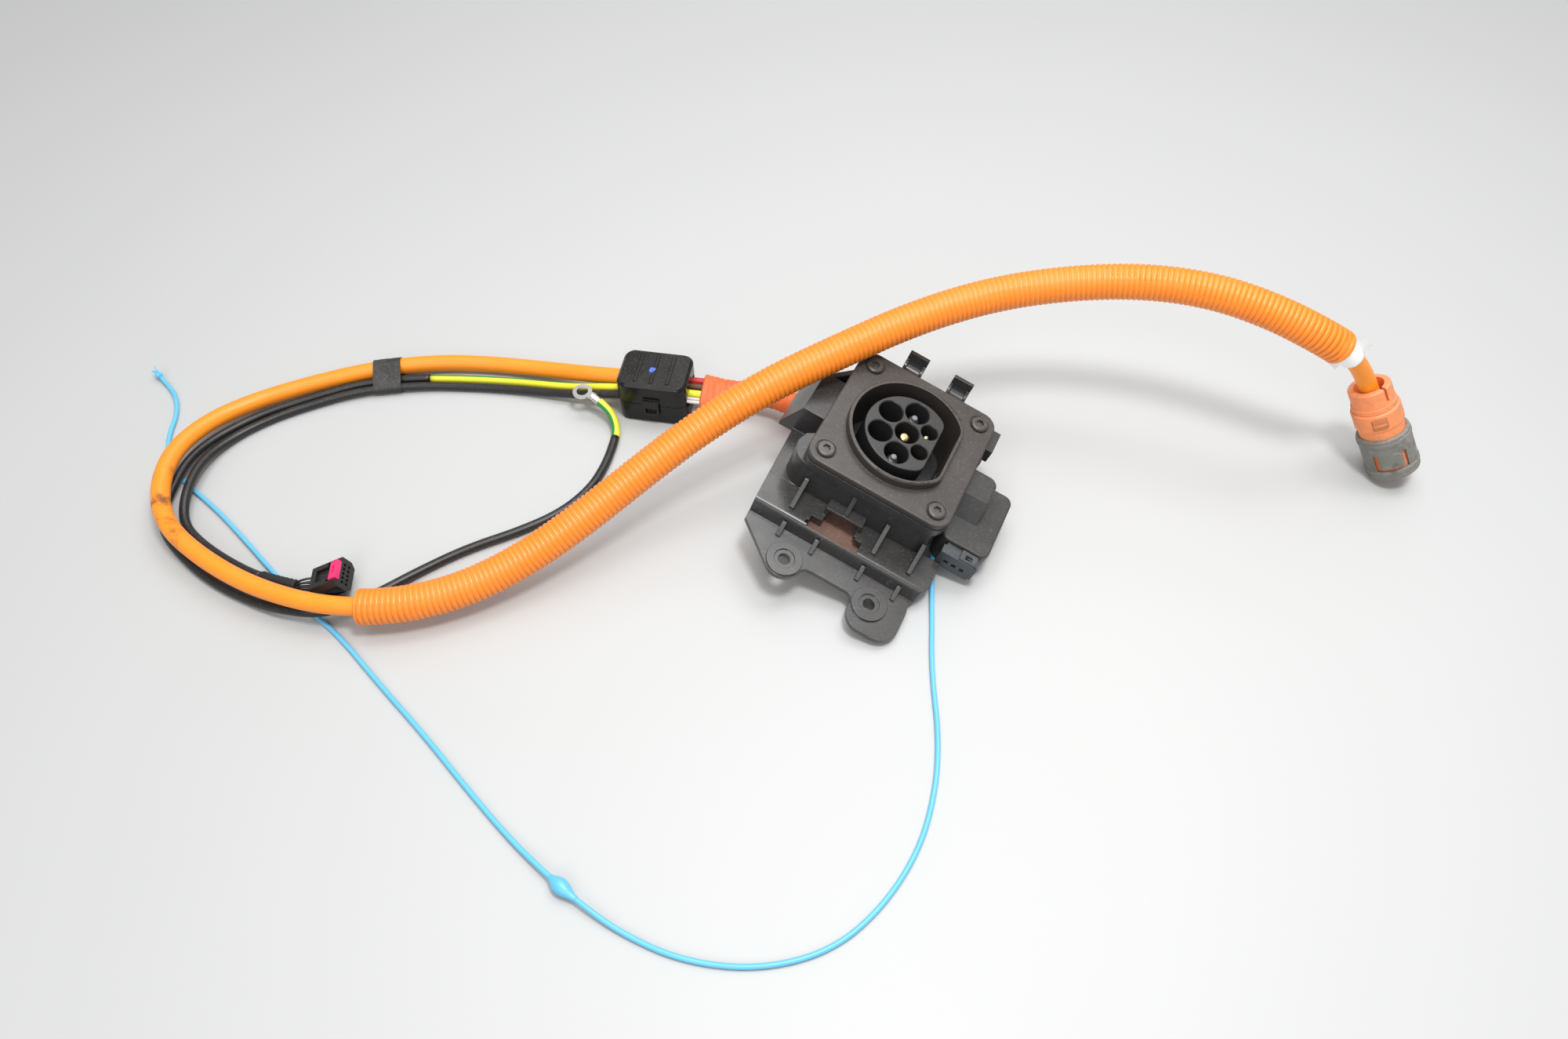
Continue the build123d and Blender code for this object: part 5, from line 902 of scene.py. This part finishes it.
def trefoil(turn, size=0.00052):
    """A point of the knot's line."""
    spot = Vector((
        math.sin(turn) + 2 * math.sin(2 * turn),
        math.cos(turn) - 2 * math.cos(2 * turn),
        -1.4 * math.sin(3 * turn),
    ))
    return knot_middle + spot * size


knot_points = [trefoil(2 * math.pi * k / 23) for k in range(24)]
knot = sweep("knot_turns", even(smooth_line(knot_points), 0.0004), 0.00075, 10, cord_blue)
threads = [knot]
for k in range(5):
    spread = Matrix.Rotation(math.radians(-30 + 15 * k), 3, "Z") @ heading
    reach = 0.0036 + 0.0007 * ((k * 3) % 4)
    lift = Vector((0, 0, 0.0008 * math.sin(2.2 * k)))
    points = [knot_middle + spread * reach * t + lift * t * t * 2 for t in (0.1, 0.45, 0.75, 1.0)]
    points[2] += Vector((0, 0, 0.0004))
    threads.append(sweep(f"thread_{k}", smooth_line(points), 0.00028, 6, cord_blue))
frayed_end = join(threads, "frayed_knot")
place(frayed_end, "blue_cord", "cord_knot")

# %% [markdown]
# ## Leads between the box and the inlet
# Five short leads run side by side from the ferrite to the mouth of their sleeve.

# %% Places in the box
BOX_TURN = math.radians(-9.0)
BOX_SPOT = Vector((-0.1187, 0.0878, 0.01375))


def in_box(x, y, z=0.0):
    """A point in the ferrite box's own directions, from the middle of its way."""
    return BOX_SPOT + Matrix.Rotation(BOX_TURN, 3, "Z") @ Vector((x, y, z))


# %% Leads
lead_finish = {
    "lead_l1": (0.0079, 0.0020, finish("lead_red", (0.55, 0.03, 0.03), 0.4, 900, 0.08)),
    "lead_n": (0.0033, 0.0020, finish("lead_brown", (0.12, 0.045, 0.02), 0.4, 900, 0.08)),
    "lead_pe": (-0.0022, 0.0022, lead_yellow),
    "lead_cp": (-0.0061, 0.00095, finish("lead_white", (0.62, 0.60, 0.56), 0.45, 900, 0.08)),
    "lead_pp": (-0.0084, 0.00095, bpy.data.materials["lead_white"]),
}
lead_slots = {"lead_l1": "red_insulation", "lead_n": "brown_insulation",
              "lead_pe": "ground_insulation", "lead_cp": "white_insulation",
              "lead_pp": "white_insulation"}
leads = []
for name, (across, radius, material) in lead_finish.items():
    lead_line = even([in_box(-0.008, across), in_box(0.0274, across)], 0.0015)
    lead = sweep(name + "_wire", lead_line, radius, 16, material)
    leads.append((place(lead, lead_slots[name], name), lead_line, 2 * radius))

# %% [markdown]
# ## The sleeve round the leads
# The leads go into an orange sleeve, which is flat where they lie side by side and round at the
# inlet. The tube builder takes two half widths here. The sleeve is thin and slightly wrinkled.

# %% Lead sleeve
mouth_of_sleeve = [in_box(0.0262, 0.00025), in_box(0.0330, 0.00025)]
sleeve_line = even(smooth_line([*mouth_of_sleeve, *map(Vector, sleeve_route)]), 0.0008)


def flat_to_round(s):
    """Half widths of the sleeve: upright and across."""
    share = min(1.0, s / 0.022)
    share = share * share * (3 - 2 * share)
    wrinkle = 0.00016 * math.sin(s * 1900) + 0.0001 * math.sin(s * 830 + 1)
    return (0.0041 + 0.0019 * share + wrinkle, 0.0106 - 0.0046 * share + wrinkle)


sleeve_orange = finish("sleeve_orange", (0.72, 0.13, 0.022), 0.6, 1600, 0.5, 0.35, 0.4, vary=0.2)
lead_sleeve = sweep("lead_sleeve_tube", sleeve_line, flat_to_round, 32, sleeve_orange, bore=0.0006)
place(lead_sleeve, "orange_sleeve", "lead_sleeve")

# %% [markdown]
# ## Tape round the three cords
# Cloth tape is wound tight round the cable and the two black tubes. Its outline is the hull of
# three circles, which bmesh finds with its convex hull operator. Four windings overlap, and each
# has a slightly larger outline than the one before it, so their edges show as steps.

# %% Tape
TAPE_X = -0.2752
TAPE_STEP = 0.0034
TAPE_WIDTH = 0.0052
TAPE_ALONG = Vector((math.cos(math.radians(8.5)), math.sin(math.radians(8.5)), 0.0))


def crossing(line, spot, along):
    """Where a line passes the plane through a spot, square to a direction."""
    close = [point for point in line if (point - spot).length < 0.03]
    return min(close, key=lambda point: abs((point - spot).dot(along)))


def winding(bm, spots, along, start, width, grow, wall):
    """One band of tape: the hull of circles round all cords, open at its ends."""
    turn = Vector((0, 0, 1)).rotation_difference(along)
    fresh = []
    for spot, radius in spots:
        for reach in (start, start + width):
            where = Matrix.LocRotScale(spot + along * reach, turn, Vector((1, 1, 1)))
            made = bmesh.ops.create_circle(bm, segments=28, radius=radius + grow, matrix=where)
            fresh += made["verts"]
    hull = bmesh.ops.convex_hull(bm, input=fresh)
    inside = {*hull["geom_interior"], *hull["geom_unused"]}
    inside = [g for g in inside if isinstance(g, bmesh.types.BMVert)]
    bmesh.ops.delete(bm, geom=inside, context="VERTS")
    fresh = [v for v in fresh if v.is_valid]
    faces = list({f for v in fresh for f in v.link_faces})
    for face in faces:
        face.normal_update()
    caps = [f for f in faces if abs(f.normal.dot(along)) > 0.9]
    bmesh.ops.delete(bm, geom=caps, context="FACES")
    band = list({f for v in fresh if v.is_valid for f in v.link_faces})
    bmesh.ops.recalc_face_normals(bm, faces=band)
    bmesh.ops.solidify(bm, geom=band, thickness=-wall)


tape_spot = Vector((TAPE_X, 0.1036, 0.0))
tape_spots = []
for line, radius in ((cable_line, CABLE_RADIUS), (ground_line, TUBING_RADIUS),
                     (signal_line, TUBING_RADIUS)):
    spot = crossing(line, tape_spot, TAPE_ALONG)
    tape_spots.append((spot - TAPE_ALONG * (spot - tape_spot).dot(TAPE_ALONG), radius))
bm = bmesh.new()
for k in range(4):
    grow = 0.0003 + 0.00012 * (k % 2)
    winding(bm, tape_spots, TAPE_ALONG, -0.0077 + k * TAPE_STEP, TAPE_WIDTH, grow, 0.0003)
tape_black = finish("tape_black", (0.018, 0.018, 0.019), 0.5, 2400, 0.9, 0.2, 0.2)
tape = place(to_piece(bm, "tape_windings", tape_black), "black_tape", "tape_wrap")
print("tape faces:", len(tape.data.polygons))

# %% [markdown]
# ## The blank label
# A white film goes once round the cable at the mouth of the hose, and both its ends stand off.
# It stays blank. Each flap is a thin grid that is bent a little, because film never hangs flat.

# %% Label
LABEL_RUN = 29
LABEL_LENGTH = 0.0125
LABEL_RADIUS = 0.0056
label_line = even(between_runs(cable_line, cable_route, LABEL_RUN, LABEL_RUN + 1), 0.001)
label_white = finish("label_white", (0.93, 0.93, 0.92), 0.35, 900, 0.05, 0.05, vary=0.02)
label_line = [spot for spot in label_line if (spot - label_line[0]).length < LABEL_LENGTH]
label_wrap = sweep("label_wrap", label_line, LABEL_RADIUS, 28, label_white, bore=0.0002)
middle = label_line[len(label_line) // 2]
toward = (label_line[-1] - label_line[0]).normalized()
across = toward.cross(Vector((0, 0, 1))).normalized()
out = -across.cross(toward)
flaps = [label_wrap]
for side, reach in ((-1, 0.0060), (1, 0.0040)):
    bm = bmesh.new()
    bmesh.ops.create_grid(bm, x_segments=12, y_segments=8, size=0.5)
    for vert in bm.verts:
        s, t = vert.co.x, vert.co.y + 0.5
        bend = 0.0006 * math.sin(3.0 * s) * t + 0.0012 * t * t
        spot = middle + toward * s * (0.0105 - 0.002 * t) + across * bend
        vert.co = spot + out * side * (0.0050 + t * reach)
    bmesh.ops.solidify(bm, geom=list(bm.faces), thickness=0.0003)
    bmesh.ops.recalc_face_normals(bm, faces=list(bm.faces))
    flaps.append(to_piece(bm, f"label_flap_{side}", label_white))
place(join(flaps, "label_film"), "white_label", "label_flag")

# %% [markdown]
# ## The thin wires into the small plug
# Six thin wires leave the wrapped end of the strand and enter the plug's open back. They are
# short, so each gets only a slight bow.

# %% Signal wires
plug_seat = Matrix.Translation((-0.2753, -0.0396, 0.00015))
plug_seat = plug_seat @ Matrix.Rotation(math.radians(5.0), 4, "Z")
plug_seat = plug_seat @ Matrix.Rotation(math.radians(-26.0), 4, "Y")
strand_end = Vector(signal_route[-1])
wires = []
for row in (-1, 1):
    for i in (-1, 0, 1):
        a = strand_end + Vector((-0.0015, 0.00125 * i, 0.00065 * row))
        b = plug_seat @ Vector((0.0018, 0.0036 * i, 0.0047 + 0.0014 * row))
        bow = Vector((0, 0, 0.0009 + 0.0005 * row))
        points = [a, a.lerp(b, 0.35) + bow, a.lerp(b, 0.7) + bow * 0.6, b]
        wires.append(sweep(f"wire_{row}_{i}", smooth_line(points), 0.0006, 10, sleeve_black))
place(join(wires, "plug_wires"), "white_insulation", "signal_wires")

def declare(piece, line, diameter, far_end, stiffness="medium", with_pieces=()):
    length = length_of(line)
    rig.cord(piece, exit=line[0], length=length, diameter=diameter, far_end=far_end,
            stiffness=stiffness, lay="loose", path=line, with_pieces=with_pieces)
    print(piece.name, "length", round(length, 4))


def shown(*names):
    """The piece that shows for each CAD node: its softened copy if it has one."""
    return [bpy.data.objects.get(name + "_moulded") or nodes[name] for name in names]


plug_pieces = shown("hv_body", "hv_backshell", "hv_insert", "hv_contacts", "hv_clips", "hv_collar")
declare(cable, even(cable_line, 0.004), 0.0093, "connector", with_pieces=plug_pieces)
declare(hose, even(hose_run, 0.004), 0.0165, "bare")
declare(ground_wire, wire_part, 0.0044, "object")
declare(ground_sleeve, sleeve_part, 0.0048, "fitting",
        with_pieces=[ground_end, nodes["ring_terminal"]])
declare(signal, signal_part, 0.0048, "connector",
        with_pieces=[boot, *shown("signal_plug", "signal_lock")])
for lead, line, diameter in leads:
    declare(lead, line, diameter, "object", stiffness="stiff")
declare(release, even(release_line, 0.004), 0.0024, "knot",
        with_pieces=[bulb, frayed_end], stiffness="limp")

# %% [markdown]
# ## Floor and light
# A plain pale floor is not part of the object, so it is marked as stage. The key lamp hangs near
# the camera, so that shadows stay short and close to the parts that cast them. A ceiling lamp and
# a large front lamp light the flat and the sloping faces. Two lamps behind the object give the
# glossy parts their highlights.

# %% Floor
def build_floor():
    bm = bmesh.new()
    bmesh.ops.create_grid(bm, x_segments=1, y_segments=1, size=4.0)
    pale = finish("pale_floor", (0.50, 0.507, 0.502), 0.5, 40, 0.0, vary=0.02)
    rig.stage(to_piece(bm, "floor", pale))


build_floor()

# %% Lights
def lamp(name, spot, target, size, power):
    """A square, soft, white light that points at a target."""
    data = bpy.data.lights.new(name, "AREA")
    data.size = size
    data.energy = power
    light = bpy.data.objects.new(name, data)
    light.location = spot
    light.rotation_euler = (Vector(target) - Vector(spot)).to_track_quat("-Z", "Y").to_euler()
    bpy.context.scene.collection.objects.link(light)


lamp("key", (0.10, -0.16, 0.90), (0.0, 0.05, 0.0), 0.16, 4.6)
lamp("ceiling", (-0.15, 0.05, 1.5), (0.0, 0.05, 0.0), 0.9, 7.0)
lamp("front", (-0.40, -1.35, 1.2), (0.0, 0.0, 0.0), 1.1, 9.0)
lamp("sky", (0.2, 0.9, 1.6), (0.0, 0.1, 0.0), 1.4, 10.0)
lamp("back", (0.55, 0.45, 1.5), (0.0, 0.0, 0.0), 0.5, 4.5)
world = bpy.data.worlds.new("studio")
world.use_nodes = True
world.node_tree.nodes["Background"].inputs["Color"].default_value = (1.0, 1.0, 1.0, 1.0)
world.node_tree.nodes["Background"].inputs["Strength"].default_value = 0.45
bpy.context.scene.world = world

# %% [markdown]
# ## Write down sizes
# The boxes of the CAD model and of the dressed model are both written down.

# %% Sizes
low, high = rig.bounds()
with open("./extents.json", "w") as file:
    json.dump({"cad": [list(cad_low), list(cad_high)], "visual": [list(low), list(high)]}, file)
print("visual box:", [round(v, 4) for v in (*low, *high)])
